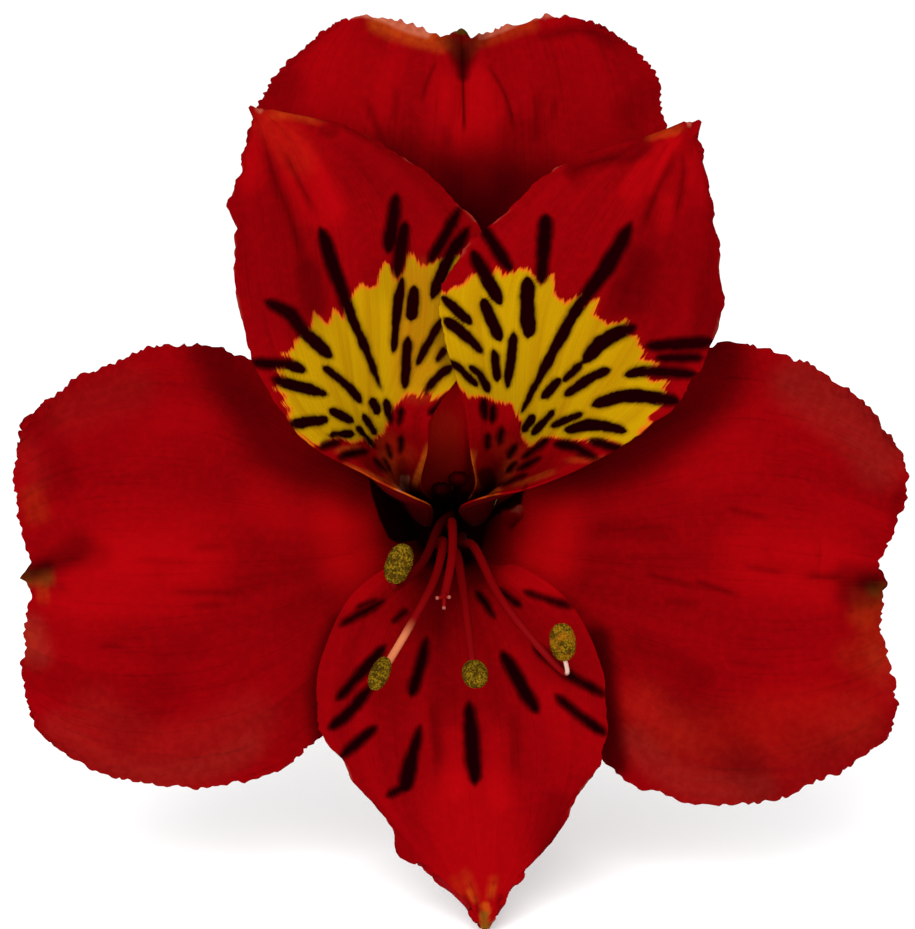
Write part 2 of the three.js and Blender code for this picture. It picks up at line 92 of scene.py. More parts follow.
# %% [markdown]
# ## Camera
# The camera looks straight into the throat along the bloom's axis, from 450 mm in front of it. A
# long lens keeps the far petals from shrinking. The markings further down are drawn on a sheet
# held before the bloom as this camera sees it. A sheet unit is 0.095 mm, the sheet's y runs down,
# and it is 915 units wide and 929 high.

# %% The camera and the drawing sheet
EYE = np.array([0.7125, 4.1325])  # where the camera's axis crosses the bloom's face, in mm
EYE_DISTANCE = 450.0
SHEET_DEPTH = 3.0  # how far behind the mouth of the throat the sheet's scale is true, in mm
SHEET_UNIT = 0.095
SHEET_HEIGHT = 929
SHEET_THROAT = np.array([450.0, 508.0])
SENSOR = 36.0  # the width of the camera's sensor, in mm


def on_sheet(points):
    """Where points of the bloom, in mm, fall on the drawing sheet."""
    nearer = (EYE_DISTANCE + SHEET_DEPTH) / (EYE_DISTANCE - points[:, 2])
    spread = (points[:, :2] - EYE) * nearer[:, None]
    return SHEET_THROAT + (EYE + spread) / SHEET_UNIT * [1, -1]


camera_place = bloom_to_part(np.array([[*EYE, EYE_DISTANCE]]))[0] * MM
bpy.ops.object.camera_add(location=camera_place, rotation=(math.pi / 2 - BLOOM_TILT, 0, 0))
camera = bpy.context.object
camera.name = "camera"
camera.data.sensor_width = SENSOR
camera.data.lens = SENSOR * (EYE_DISTANCE + SHEET_DEPTH) / (SHEET_HEIGHT * SHEET_UNIT)
bpy.context.scene.camera = camera
print("camera at", camera_place.round(4), "with a lens of", round(camera.data.lens, 1), "mm")

# %% [markdown]
# ## Curves
# A petal is a row of stations from its base to its tip. A smooth curve through the stations gives
# every point between them, so a fine grid can follow the same form as the coarse solid.

# %% Smooth curves and steps
def along(stations, t):
    """Values of a list of rows at each t, 0 to 1, on a smooth curve through the rows."""
    stations = np.asarray(stations, float)
    last = len(stations) - 1
    place = np.clip(t, 0, 1) * last
    i = np.minimum(place.astype(int), last - 1)
    f = (place - i)[:, None]
    a, b, c, d = (stations[np.clip(i + k, 0, last)] for k in (-1, 0, 1, 2))
    return b + 0.5 * f * (c - a + f * (2 * a - 5 * b + 4 * c - d + f * (3 * (b - c) + d - a)))


def smooth(start, end, value):
    """A soft step from 0 at start to 1 at end."""
    t = np.clip((value - start) / (end - start), 0, 1)
    return t * t * (3 - 2 * t)


def unit(vectors):
    return vectors / np.linalg.norm(vectors, axis=-1, keepdims=True)


# %% [markdown]
# ## Pieces from a grid
# Each piece starts as Blender's own grid primitive. Its two directions become the piece's length
# and its width, and a formula puts every point in place. The grid's UV map stays on it, so
# patterns can follow the veins. A leaf or a petal is then given its thickness by a Solidify
# modifier, thinner towards the margin. A stalk is a grid rolled up and closed at both ends.

# %% Grid, thickness and finish
SAME_POINT = 1e-6  # points nearer to each other than this are one, in metres
SHARP = math.radians(50)  # edges bent further than this stay sharp
THINS_FROM = 0.82  # of the half width, where a blade starts to thin towards its margin
THINNING_STEPS = 8


def grid_piece(name, rows, columns, place):
    """A grid whose points are at place(u, v), in mm of the part: u from 0 to 1, v from -1 to 1."""
    bpy.ops.object.select_all(action="DESELECT")
    bpy.ops.mesh.primitive_grid_add(x_subdivisions=columns, y_subdivisions=rows, size=2)
    piece = bpy.context.object
    piece.name = piece.data.name = name
    flat = np.empty(len(piece.data.vertices) * 3)
    piece.data.vertices.foreach_get("co", flat)
    x, y, _ = flat.reshape(-1, 3).T
    u, v = (y + 1) / 2, x
    piece.data.vertices.foreach_set("co", (place(u, v) * MM).ravel())
    piece.data.update()
    return piece, v


def store(piece, **layers):
    """Keeps one number per point under each name, for the materials to read."""
    for name, values in layers.items():
        layer = piece.data.attributes.new(name, "FLOAT", "POINT")
        layer.data.foreach_set("value", np.asarray(values, np.float32))


def close(piece):
    """Joins the points that meet and turns every face outwards."""
    bpy.ops.object.mode_set(mode="EDIT")
    bpy.ops.mesh.select_all(action="SELECT")
    bpy.ops.mesh.remove_doubles(threshold=SAME_POINT)
    bpy.ops.mesh.normals_make_consistent(inside=False)
    bpy.ops.object.mode_set(mode="OBJECT")
    bpy.ops.object.shade_smooth_by_angle(angle=SHARP)


def thicken(piece, v, thickness, edge_share, face, back):
    """Gives a blade its two faces and its thickness, down to edge_share of it along the margin."""
    for material in (face, back):  # Solidify gives the back its own only if both are there
        piece.data.materials.append(material)
    group = piece.vertex_groups.new(name="body")
    level = np.round(smooth(1, THINS_FROM, np.abs(v)) * THINNING_STEPS).astype(int)
    for step in range(THINNING_STEPS + 1):
        group.add(np.flatnonzero(level == step).tolist(), step / THINNING_STEPS, "REPLACE")
    shell = piece.modifiers.new("thickness", "SOLIDIFY")
    shell.thickness = thickness * MM
    shell.offset = 0
    shell.vertex_group = "body"
    shell.thickness_vertex_group = edge_share
    shell.material_offset = 1
    shell.material_offset_rim = 0
    bpy.ops.object.modifier_apply(modifier="thickness")
    close(piece)


def finish_piece(piece, node, slot, *materials):
    """Gives a piece its materials and puts it in the place of a CAD node."""
    for material in materials:
        piece.data.materials.append(material)
    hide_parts(node)
    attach(piece, "root")


# %% [markdown]
# ## Materials
# One helper adds a shader node with its settings and links. Colours are given as they look on a
# screen and turned into the linear values that the renderer works with.

# %% Colours and shader nodes
def colour(code):
    """An sRGB hex colour as linear red, green, blue and alpha."""
    parts = [int(code[i : i + 2], 16) / 255 for i in (1, 3, 5)]
    return [c / 12.92 if c <= 0.04045 else ((c + 0.055) / 1.055) ** 2.4 for c in parts] + [1.0]


def add(tree, kind, inputs=None, output=0, **settings):
    """Adds a node with its settings, fills its sockets with values or links, and gives an output."""
    made = tree.nodes.new("ShaderNode" + kind)
    for key, value in settings.items():
        setattr(made, key, value)
    for key, value in (inputs or {}).items():
        socket = made.inputs[key]
        if isinstance(value, bpy.types.NodeSocket):
            tree.links.new(value, socket)
        else:
            socket.default_value = value
    return made.outputs[output]


def new_material(name):
    """An empty material and its node tree."""
    material = bpy.data.materials.new(name)
    material.use_nodes = True
    material.node_tree.nodes.clear()
    return material, material.node_tree


def surface_of(tree, base, bump, **sockets):
    """Ends a material in one Principled shader with this colour and bump."""
    inputs = {key.replace("_", " "): value for key, value in sockets.items()}
    shader = add(tree, "BsdfPrincipled", {"Base Color": base, "Normal": bump, **inputs})
    end = tree.nodes.new("ShaderNodeOutputMaterial")
    tree.links.new(shader, end.inputs["Surface"])


# A Mix node that lays one colour over another: its colours are sockets 6 and 7, and its result 2.
BLEND = dict(output=2, data_type="RGBA", clamp_factor=True)
SOFT = dict(interpolation_type="SMOOTHSTEP")

# %% [markdown]
# ## Petal tissue
# A fresh petal is soft and velvety: its skin cells are tiny cones, so it hardly shines. Veins run
# from its base to its tip, a little darker and a little sunken. Each petal carries numbers on its
# points that say where its blotch, streaks, tints, painted light and painted shade are, and the
# material reads them. Noise that is stretched along the veins frays the edges of the blotch. The
# back of a petal is plainer: the veins show more there, the narrow claw is darker, partly from its
# own colour and partly as painted shade of the throat, and the midrib is a greenish keel.

# %% The petal's two faces
VEINS_ACROSS = 110.0  # about 0.35 mm apart on a petal 38 mm wide
FRAY_ACROSS = 0.8 * VEINS_ACROSS
FOLDS_ACROSS = 9.0
CELLS_PER_METRE = 1400.0  # skin cells, drawn at 0.7 mm to show at all
WAVERS_PER_METRE = 520.0  # the outline of a streak wavers about every 2 mm
VELVET = 0.6  # the roughness of a skin of tiny cones
RELIEF = 0.0003  # the height of veins and folds, in metres
RED = "#680104"
RED_DEEP = "#460102"
RED_BRIGHT = "#7c0205"
YELLOW = "#8a6802"
YELLOW_WARM = "#6e4002"
STREAK = "#0e0001"
MAROON = "#190001"
TINTS = {"painted_light": "#a20408", "amber": "#a2480c", "blush_and_highlight": "#8c4c38", "olive": "#3c3a0c"}


def petal_material(name, front):
    """Red petal tissue: the upper face with its markings, or the plainer back."""
    material, tree = new_material(name)
    uv = add(tree, "TexCoord", output="UV")
    place = add(tree, "TexCoord", output="Object")
    patterns = {
        "veins": (uv, (VEINS_ACROSS, 5.0, 1), 3.0),
        "folds": (uv, (FOLDS_ACROSS, 1.6, 1), 2.0),
        "cells": (place, [CELLS_PER_METRE] * 3, 2.0),
    }
    if front:
        patterns["fray"] = (uv, (FRAY_ACROSS, 14.0, 1), 4.0)
        patterns["waver"] = (place, [WAVERS_PER_METRE] * 3, 2.0)
    noise = {}
    for kind, (vector, scale, detail) in patterns.items():
        stretched = add(tree, "Mapping", {"Vector": vector, "Scale": scale})
        noise[kind] = add(tree, "TexNoise", {"Vector": stretched, "Scale": 1.0, "Detail": detail})

    face = colour(RED)
    for kind, start, end, top, over in (
        ("folds", 0.3, 0.7, 0.45, RED_DEEP),
        ("veins", 0.5, 0.8, 0.5 if front else 0.8, RED_DEEP),
        ("cells", 0.4, 0.7, 0.18, RED_BRIGHT),
    ):
        limits = {"Value": noise[kind], "From Min": start, "From Max": end, "To Max": top}
        share = add(tree, "MapRange", limits, **SOFT)
        face = add(tree, "Mix", {"Factor": share, 6: face, 7: colour(over)}, **BLEND)
    if front:
        face = marked(tree, face, noise)
    else:
        # the back darkens at the claw, partly its own colour and partly painted shade of the throat
        for kind, over in (("claw", MAROON), ("keel", TINTS["olive"])):
            share = add(tree, "Attribute", attribute_name=kind, output="Fac")
            face = add(tree, "Mix", {"Factor": share, 6: face, 7: colour(over)}, **BLEND)

    height = add(tree, "Math", {0: noise["folds"], 1: 2.0, 2: noise["veins"]}, operation="MULTIPLY_ADD")
    depth = {"Height": height, "Strength": 0.3 if front else 0.5, "Distance": RELIEF}
    gloss = 0.0 if front else 0.02
    surface_of(tree, face, add(tree, "Bump", depth), Roughness=VELVET, Specular_IOR_Level=gloss)
    return material


def marked(tree, face, noise):
    """The tissue's colour with the petal's painted light, blotch, tints, streaks and painted shade laid
    over it.
    """
    stored = {
        kind: add(tree, "Attribute", attribute_name=kind, output="Fac")
        for kind in ("painted_light", "blotch", "amber", "blush_and_highlight", "olive", "streak", "shade_and_dark_marks")
    }
    # painted light: a brighter red where more light falls
    face = add(tree, "Mix", {"Factor": stored["painted_light"], 6: face, 7: colour(TINTS["painted_light"])}, **BLEND)

    yellow = colour(YELLOW)
    for kind, start, end, top in (("veins", 0.4, 0.8, 0.22), ("folds", 0.45, 0.75, 0.5)):
        limits = {"Value": noise[kind], "From Min": start, "From Max": end, "To Max": top}
        share = add(tree, "MapRange", limits, **SOFT)
        yellow = add(tree, "Mix", {"Factor": share, 6: yellow, 7: colour(YELLOW_WARM)}, **BLEND)
    shift = add(tree, "Math", {0: noise["fray"], 1: 1.3, 2: -0.65}, operation="MULTIPLY_ADD")
    blotch = add(tree, "Math", {0: stored["blotch"], 1: shift}, operation="ADD")
    fringe = add(tree, "MapRange", {"Value": blotch, "From Min": -0.16, "From Max": 0.1}, **SOFT)
    face = add(tree, "Mix", {"Factor": fringe, 6: face, 7: colour(TINTS["amber"])}, **BLEND)
    in_blotch = add(tree, "MapRange", {"Value": blotch, "From Min": 0.0, "From Max": 0.32}, **SOFT)
    face = add(tree, "Mix", {"Factor": in_blotch, 6: face, 7: yellow}, **BLEND)

    speckle = add(tree, "MapRange", {"Value": noise["cells"], "From Min": 0.35, "From Max": 0.6}, **SOFT)
    grain = add(tree, "Math", {0: speckle, 1: 0.35, 2: 0.75}, operation="MULTIPLY_ADD")
    # the blush is partly a pale tint and partly a painted sheen and highlight
    for kind in ("amber", "blush_and_highlight", "olive"):
        share = add(tree, "Math", {0: stored[kind], 1: grain}, operation="MULTIPLY")
        face = add(tree, "Mix", {"Factor": share, 6: face, 7: colour(TINTS[kind])}, **BLEND)

    waver = add(tree, "Math", {0: noise["waver"], 1: 0.5, 2: -0.25}, operation="MULTIPLY_ADD")
    wavering = add(tree, "Math", {0: stored["streak"], 1: waver}, operation="ADD")
    streak = add(tree, "Math", {0: shift, 1: 0.14, 2: wavering}, operation="MULTIPLY_ADD")
    halo = {"Value": streak, "From Min": 0.5, "From Max": 0.0, "To Max": 0.45}
    halo = add(tree, "MapRange", halo, **SOFT)
    face = add(tree, "Mix", {"Factor": halo, 6: face, 7: colour(MAROON)}, **BLEND)
    # a streak is crisp on yellow tissue and soft on red
    sharp = add(tree, "MapRange", {"Value": streak, "From Min": 0.18, "From Max": -0.1}, **SOFT)
    blurred = add(tree, "MapRange", {"Value": streak, "From Min": 0.34, "From Max": -0.3}, **SOFT)
    inked = add(tree, "Mix", {"Factor": in_blotch, 2: blurred, 3: sharp}, data_type="FLOAT")
    face = add(tree, "Mix", {"Factor": inked, 6: face, 7: colour(STREAK)}, **BLEND)
    # painted shade laid last in dark maroon, with a few dark marks of the petal's own
    return add(tree, "Mix", {"Factor": stored["shade_and_dark_marks"], 6: face, 7: colour(MAROON)}, **BLEND)


petal_front = petal_material("red petal, upper face", True)
petal_back = petal_material("red petal, back", False)
print("petal materials:", petal_front.name, "and", petal_back.name)

# %% [markdown]
# ## The six petals
# Three broad outer petals have a notched tip, and three narrower inner ones end in a point. The
# two upper inner petals are rolled at the base into tubes that hold the nectar. Each station
# gives a point on the midrib, one on the left and one on the right margin, and how far the
# section is rolled. The stations are those of the CAD solids. An outer petal has a deep groove
# along its midrib, an inner one a shallow groove.

# %% Petal stations
def station(middle, left, right, roll):
    """One row of numbers for a section of a petal, in mm of the bloom and radians."""
    return [*middle, *left, *right, roll]


def mirrored(stations):
    """The same stations on the other side of the bloom, with left and right exchanged."""
    return [
        station([-mx, my, mz], [-rx, ry, rz], [-lx, ly, lz], roll)
        for mx, my, mz, lx, ly, lz, rx, ry, rz, roll in stations
    ]


OUTER_SIDE_CLAW = [
    station([-3.1, -4.3, -36], [-2.1, -5.5, -36], [-3.7, -2.6, -36], 0.5),
    station([-4, -4.4, -30], [-2.6, -6.3, -30], [-4.3, -0.5, -30], 0.5),
    station([-5.3, -4.2, -24], [-3.2, -7.2, -23.4], [-5.5, 2.2, -23.4], 0.5),
    station([-7.8, -4.5, -17.5], [-4.8, -9.8, -16.6], [-7.5, 5.6, -16.4], 0.5),
]
INNER_SIDE_CLAW = [
    station([-2.25, -1.2, -36], [-2.4, -2.2, -36], [-1.3, -0.4, -36], 0.6),
    station([-3.2, -0.4, -30], [-2.2, -2, -29.6], [-1.4, 0.2, -30], 1.3),
    station([-4, 0.2, -24], [-1.9, -1.8, -22.6], [-1.7, 0.5, -23.4], 2.0),
]
PETALS = {
    "outer_tepal_top": dict(
        crease=0.5,
        lobe=1.4,
        wave=0.5,
        waves=2.5,
        stations=[
            station([0, 1.1, -36], [-2.6, 0.3, -36], [2.6, 0.3, -36], 0.5),
            station([0, 2.4, -30], [-3.9, 1.5, -30], [3.9, 1.5, -30], 0.5),
            station([0.1, 4.4, -24], [-5, 3.4, -23.6], [5, 3.4, -23.6], 0.5),
            station([0.3, 7.8, -17.5], [-6.2, 7, -16.4], [6.5, 7, -16.4], 0.4),
            station([0.5, 13, -12], [-8.5, 12.6, -11.2], [9.4, 12.6, -11.2], 0.4),
            station([0.8, 20.5, -8.5], [-14.5, 21, -7.2], [16, 21, -7.2], 0.4),
            station([0.9, 29, -6.5], [-19.2, 30, -6], [20.8, 30, -6], 0.4),
            station([1, 36.5, -5.8], [-18.8, 37.8, -6], [20.4, 37.6, -6], 0.4),
            station([1.1, 41.8, -6], [-16.6, 42.2, -6.6], [18.8, 42.2, -6.6], 0.4),
            station([1.1, 45.2, -6.6], [-13, 45.6, -7.8], [16.2, 45.4, -7.8], 0.4),
        ],
    ),
    "outer_tepal_left": dict(
        crease=0.5,
        lobe=1.1,
        wave=0.6,
        waves=3,
        stations=[
            *OUTER_SIDE_CLAW,
            station([-12.5, -5.4, -12.5], [-8, -13, -11.4], [-10.8, 8.8, -11], 0.4),
            station([-18.5, -6.1, -9], [-11.3, -20.2, -8.8], [-16.2, 12.3, -8], 0.4),
            station([-25.5, -6.5, -6.8], [-16.8, -25.3, -7], [-22, 15.3, -6], 0.4),
            station([-32, -6.6, -5.6], [-25, -26.9, -6.2], [-29.2, 15.3, -5.5], 0.4),
            station([-37, -6.6, -5.2], [-33.4, -25.6, -6], [-35.4, 12.8, -5.6], 0.4),
            station([-40.3, -6.6, -5.4], [-39, -21.4, -6.6], [-40.4, 8.8, -6.4], 0.4),
        ],
    ),
    "outer_tepal_right": dict(
        crease=0.5,
        lobe=1.1,
        wave=0.6,
        waves=3.3,
        stations=[
            *mirrored(OUTER_SIDE_CLAW),
            station([12.5, -5.4, -12.5], [11, 8.8, -11], [8.4, -13, -11.4], 0.4),
            station([19, -6.2, -9], [18.2, 12.3, -8], [12.4, -20.8, -8.8], 0.4),
            station([26.5, -6.7, -6.8], [25.2, 15.7, -6.2], [19.4, -27, -7], 0.4),
            station([33, -7, -5.6], [32.4, 14.5, -5.6], [28.9, -28.4, -6.4], 0.4),
            station([38, -7.1, -5.2], [38.4, 10.9, -5.8], [36.9, -26, -6.4], 0.4),
            station([41.3, -7.1, -5.4], [42.4, 6.6, -6.6], [41.2, -22.2, -7], 0.4),
        ],
    ),
    "inner_tepal_left": dict(
        crease=0.15,
        lobe=0,
        wave=0.3,
        waves=2,
        stations=[
            *INNER_SIDE_CLAW,
            station([-5.5, 2.2, -17], [-1.8, 0, -13], [-2.9, 2.2, -15.2], 2.3),
            station([-7.4, 5.2, -12.5], [-3.8, 1.1, -9], [-2.3, 5.2, -9.8], 2.2),
            station([-8.6, 8.4, -8.5], [-7.8, 3, -6], [-1.6, 9, -7], 1.3),
            station([-9.3, 14.1, -5], [-14.3, 6.9, -3.5], [2.4, 15, -5.4], 0.9),
            station([-10, 20.7, -2.4], [-19, 15, -1.5], [3.6, 20.7, -4.6], 0.6),
            station([-10.9, 27.4, -0.9], [-20.3, 23.3, -0.5], [2.9, 26.6, -3.6], 0.5),
            station([-13.1, 32.4, -0.2], [-20.6, 29.3, -0.6], [-3.6, 32.7, -1.8], 0.4),
            station([-15.5, 35.5, -0.2], [-19.3, 33.6, -0.8], [-10, 36.2, -1], 0.4),
            station([-17.7, 37.5, -0.4], [-18.2, 36.6, -0.6], [-16.2, 37.2, -0.6], 0.4),
        ],
    ),
    "inner_tepal_right": dict(
        crease=0.15,
        lobe=0,
        wave=0.3,
        waves=2.4,
        stations=[
            *mirrored(INNER_SIDE_CLAW),
            station([5.1, 2.2, -17], [2.5, 2.2, -15.2], [0.9, -0.1, -13], 2.3),
            station([7.2, 5, -12.5], [2.1, 4.8, -9.8], [3.7, 1.1, -9], 2.2),
            station([9, 7.4, -8.5], [1.3, 9.8, -6], [7.6, 1.9, -5.8], 1.3),
            station([10.5, 12.9, -4.5], [0, 14.3, -2.2], [14.3, 4.7, -3], 0.9),
            station([12.4, 18.8, -1.8], [-0.9, 19.3, -0.9], [20.9, 9.3, -1], 0.6),
            station([14.7, 24.5, -0.2], [0.8, 23.8, -0.4], [24.9, 15.8, -0.2], 0.5),
            station([17.3, 29.5, 0.4], [4.8, 27.6, -0.2], [25.3, 23.2, 0.1], 0.4),
            station([19.8, 33.1, 0.4], [10.9, 32.5, -0.2], [24.6, 29.3, 0], 0.4),
            station([21.6, 35.2, 0.1], [17.1, 34.4, -0.2], [23.3, 33.2, -0.1], 0.4),
            station([22.6, 36.3, -0.1], [21.6, 36, -0.2], [23.1, 35.3, -0.2], 0.4),
        ],
    ),
    "inner_tepal_lower": dict(
        crease=0.15,
        lobe=0,
        wave=0.3,
        waves=2.5,
        stations=[
            station([0, -5.1, -36], [1.2, -4.9, -36], [-1.2, -4.9, -36], 0.5),
            station([0, -5.7, -30], [2, -5.2, -30], [-2, -5.2, -30], 0.5),
            station([0, -6.3, -24], [3, -5.2, -23.2], [-3, -5.2, -23.2], 0.5),
            station([0.1, -7.4, -17.5], [4.4, -5.8, -16.2], [-4.2, -5.8, -16.2], 0.6),
            station([0.3, -9.4, -12], [7, -5.8, -10.3], [-5.4, -5.4, -10.3], 0.5),
            station([0.7, -14, -7.5], [11.4, -9, -6.8], [-9.6, -8.6, -6.8], 0.4),
            station([1.2, -19.5, -4.6], [14.2, -14.5, -4.4], [-12.3, -14.5, -4.4], 0.4),
            station([1.7, -25, -2.6], [14.9, -20.5, -3], [-12.6, -19.7, -3], 0.4),
            station([2.2, -30, -1.2], [13.4, -25.3, -2.2], [-10.6, -24.2, -2.2], 0.4),
            station([2.7, -34, -0.2], [10, -30.4, -1.4], [-6.3, -29.6, -1.4], 0.4),
            station([3, -36.8, 0.5], [6.7, -33.8, -0.4], [-2.4, -33.6, -0.4], 0.4),
            station([3.2, -38.4, 0.9], [4.9, -36.8, 0.5], [0.9, -36.6, 0.5], 0.4),
            station([3.3, -39.6, 1.2], [3.6, -39.3, 1.1], [2.9, -39.3, 1.1], 0.4),
        ],
    ),
}
print(sum(len(petal["stations"]) for petal in PETALS.values()), "stations in", len(PETALS), "petals")

# %% [markdown]
# ## Markings
# The two upper inner petals have a yellow blotch with a flame-like edge, crossed by dark
# streaks that lie along the veins. The streaks and the outline of each blotch are drawn on the
# sheet. Every point of a petal then keeps its distance from them, in millimetres, negative
# inside a streak and positive inside a blotch, which stays sharp between the points. Softer
# strokes tint the petals: painted light on brighter places, the amber throat, a pale blush that
# holds painted sheens and highlights along the margins, the olive tip, and painted shade in the
# creases, the overlaps and under other petals, along with a few dark marks of the petal's own.
# Folds are pressed in along strokes as well.

# %% Streaks and blotches on the sheet
# A streak is the points of its line, then its width, or its widths at the start and the end.
STREAKS = {
    "inner_tepal_left": [
        (320, 228, 345, 300, 366, 350, 381, 388, 17, 6),
        (266, 301, 290, 314, 304, 332, 332, 357, 12, 13),
        (396, 194, 388, 252, 13),
        (405, 222, 396, 277, 13),
        (402, 276, 397, 310, 393, 352, 11, 7),
        (414, 285, 411, 320, 12),
        (460, 208, 429, 262, 10),
        (468, 228, 446, 262, 432, 298, 12),
        (408, 335, 405, 388, 9),
        (441, 318, 417, 364, 8),
        (445, 347, 437, 361, 6),
        (250, 363, 285, 364, 305, 371, 10),
        (272, 379, 326, 394, 11),
        (322, 366, 344, 383, 361, 402, 9),
        (288, 425, 327, 419, 10),
        (328, 410, 352, 421, 9),
        (371, 397, 378, 413, 9),
        (362, 412, 375, 433, 7),
        (355, 426, 373, 446, 6),
        (328, 436, 352, 434, 8),
        (319, 448, 340, 442, 7),
        (338, 458, 364, 451, 8),
        (385, 398, 392, 421, 7),
        (402, 407, 400, 423, 6),
        (386, 442, 391, 456, 5),
        (402, 434, 402, 451, 5),
        (452, 366, 438, 376, 425, 393, 8),
        (454, 394, 429, 414, 8),
        (442, 414, 432, 428, 6),
        (372, 459, 384, 472, 4),
        (382, 458, 388, 471, 4),
    ],
    "inner_tepal_right": [
        (631, 224, 604, 272, 571, 318, 522, 410, 18, 6),
        (546, 214, 541, 283, 16, 13),
        (483, 228, 511, 270, 11),
        (472, 250, 488, 280, 501, 304, 12),
        (527, 276, 528, 337, 15),
        (482, 298, 500, 340, 12),
        (514, 331, 507, 387, 9),
        (493, 348, 497, 380, 9),
        (441, 296, 471, 323, 9),
        (444, 319, 462, 332, 482, 352, 10),
        (468, 365, 480, 374, 488, 391, 8),
        (449, 360, 464, 372, 477, 385, 7),
        (636, 326, 606, 339, 584, 362, 14),
        (583, 362, 564, 381, 8),
        (562, 377, 542, 397, 9),
        (611, 369, 590, 378, 565, 395, 10),
        (646, 346, 680, 344, 713, 342, 11),
        (656, 358, 702, 358, 9),
        (626, 375, 650, 371, 698, 375, 12),
        (594, 405, 630, 395, 680, 402, 13),
        (566, 430, 597, 425, 627, 432, 11),
        (584, 413, 552, 426, 8),
        (555, 410, 533, 433, 8),
        (535, 414, 523, 430, 8),
        (556, 444, 575, 447, 598, 459, 9),
        (590, 441, 624, 450, 9),
        (550, 438, 524, 458, 6),
        (543, 458, 519, 471, 5),
        (519, 461, 509, 473, 6),
        (483, 397, 484, 419, 7),
        (493, 403, 491, 421, 7),
        (502, 425, 498, 442, 7),
        (487, 432, 485, 447, 6),
        (517, 443, 508, 456, 8),
        (528, 476, 500, 488, 4),
    ],
    "inner_tepal_lower": [
        (383, 601, 339, 626, 7),
        (376, 600, 357, 608, 4),
        (406, 611, 392, 623, 5),
        (385, 646, 362, 672, 337, 700, 10),
        (372, 685, 350, 712, 328, 729, 10),
        (376, 727, 341, 757, 9),
        (426, 638, 420, 668, 410, 698, 9, 13),
        (420, 727, 412, 758, 404, 792, 7, 17),
        (408, 785, 388, 796, 6),
        (469, 703, 475, 785, 13, 17),
        (477, 593, 486, 604, 495, 619, 6),
        (499, 590, 521, 607, 6),
        (525, 592, 573, 608, 6),
        (502, 653, 522, 686, 538, 714, 13),
        (534, 645, 567, 674, 607, 696, 9),
        (556, 696, 580, 716, 607, 735, 9),
    ],
}
BLOTCHES = {
    "inner_tepal_left": [
        (448, 255), (433, 262), (421, 266), (410, 252), (403, 270), (396, 280), (390, 264), (384, 262),
        (378, 274), (377, 285), (368, 288), (360, 282), (350, 300), (341, 292), (343, 318), (334, 308),
        (330, 324), (313, 310), (309, 330), (297, 336), (293, 349), (282, 353), (294, 362), (274, 370),
        (284, 378), (274, 388), (285, 396), (282, 404), (290, 409), (287, 416), (292, 424), (294, 432),
        (304, 439), (312, 445), (321, 446), (334, 438), (342, 441), (352, 444), (362, 438), (368, 446),
        (375, 436), (384, 430), (389, 417), (396, 405), (410, 393), (420, 396), (428, 388), (433, 400),
        (446, 392), (460, 388), (470, 370), (470, 255),
    ],
    "inner_tepal_right": [
        (430, 296), (450, 290), (463, 284), (474, 273), (482, 276), (489, 283), (497, 266), (504, 275),
        (517, 270), (527, 267), (534, 276), (541, 283), (548, 275), (554, 273), (556, 294), (565, 303),
        (582, 293), (584, 306), (599, 299), (594, 314), (608, 323), (628, 319), (624, 332), (639, 335),
        (640, 345), (645, 352), (641, 358), (658, 364), (645, 370), (650, 380), (669, 381), (663, 388),
        (667, 394), (655, 398), (664, 405), (650, 416), (652, 424), (642, 432), (636, 441), (627, 449),
        (612, 442), (596, 441), (572, 442), (556, 437), (543, 438), (532, 446), (523, 436), (521, 420),
        (512, 403), (497, 400), (484, 395), (468, 396), (458, 386), (446, 372), (430, 350),
    ],
}
# Painted shade in the dark gaps on either side of the throat, where the side petals' claws bend away.
SHADED_GAPS = [
    [(366, 476), (396, 501), (421, 533), (412, 541), (396, 544), (386, 539), (377, 520), (369, 494)],
    [(528, 486), (524, 504), (505, 510), (489, 523), (479, 549), (460, 530), (466, 523), (492, 510)],
]
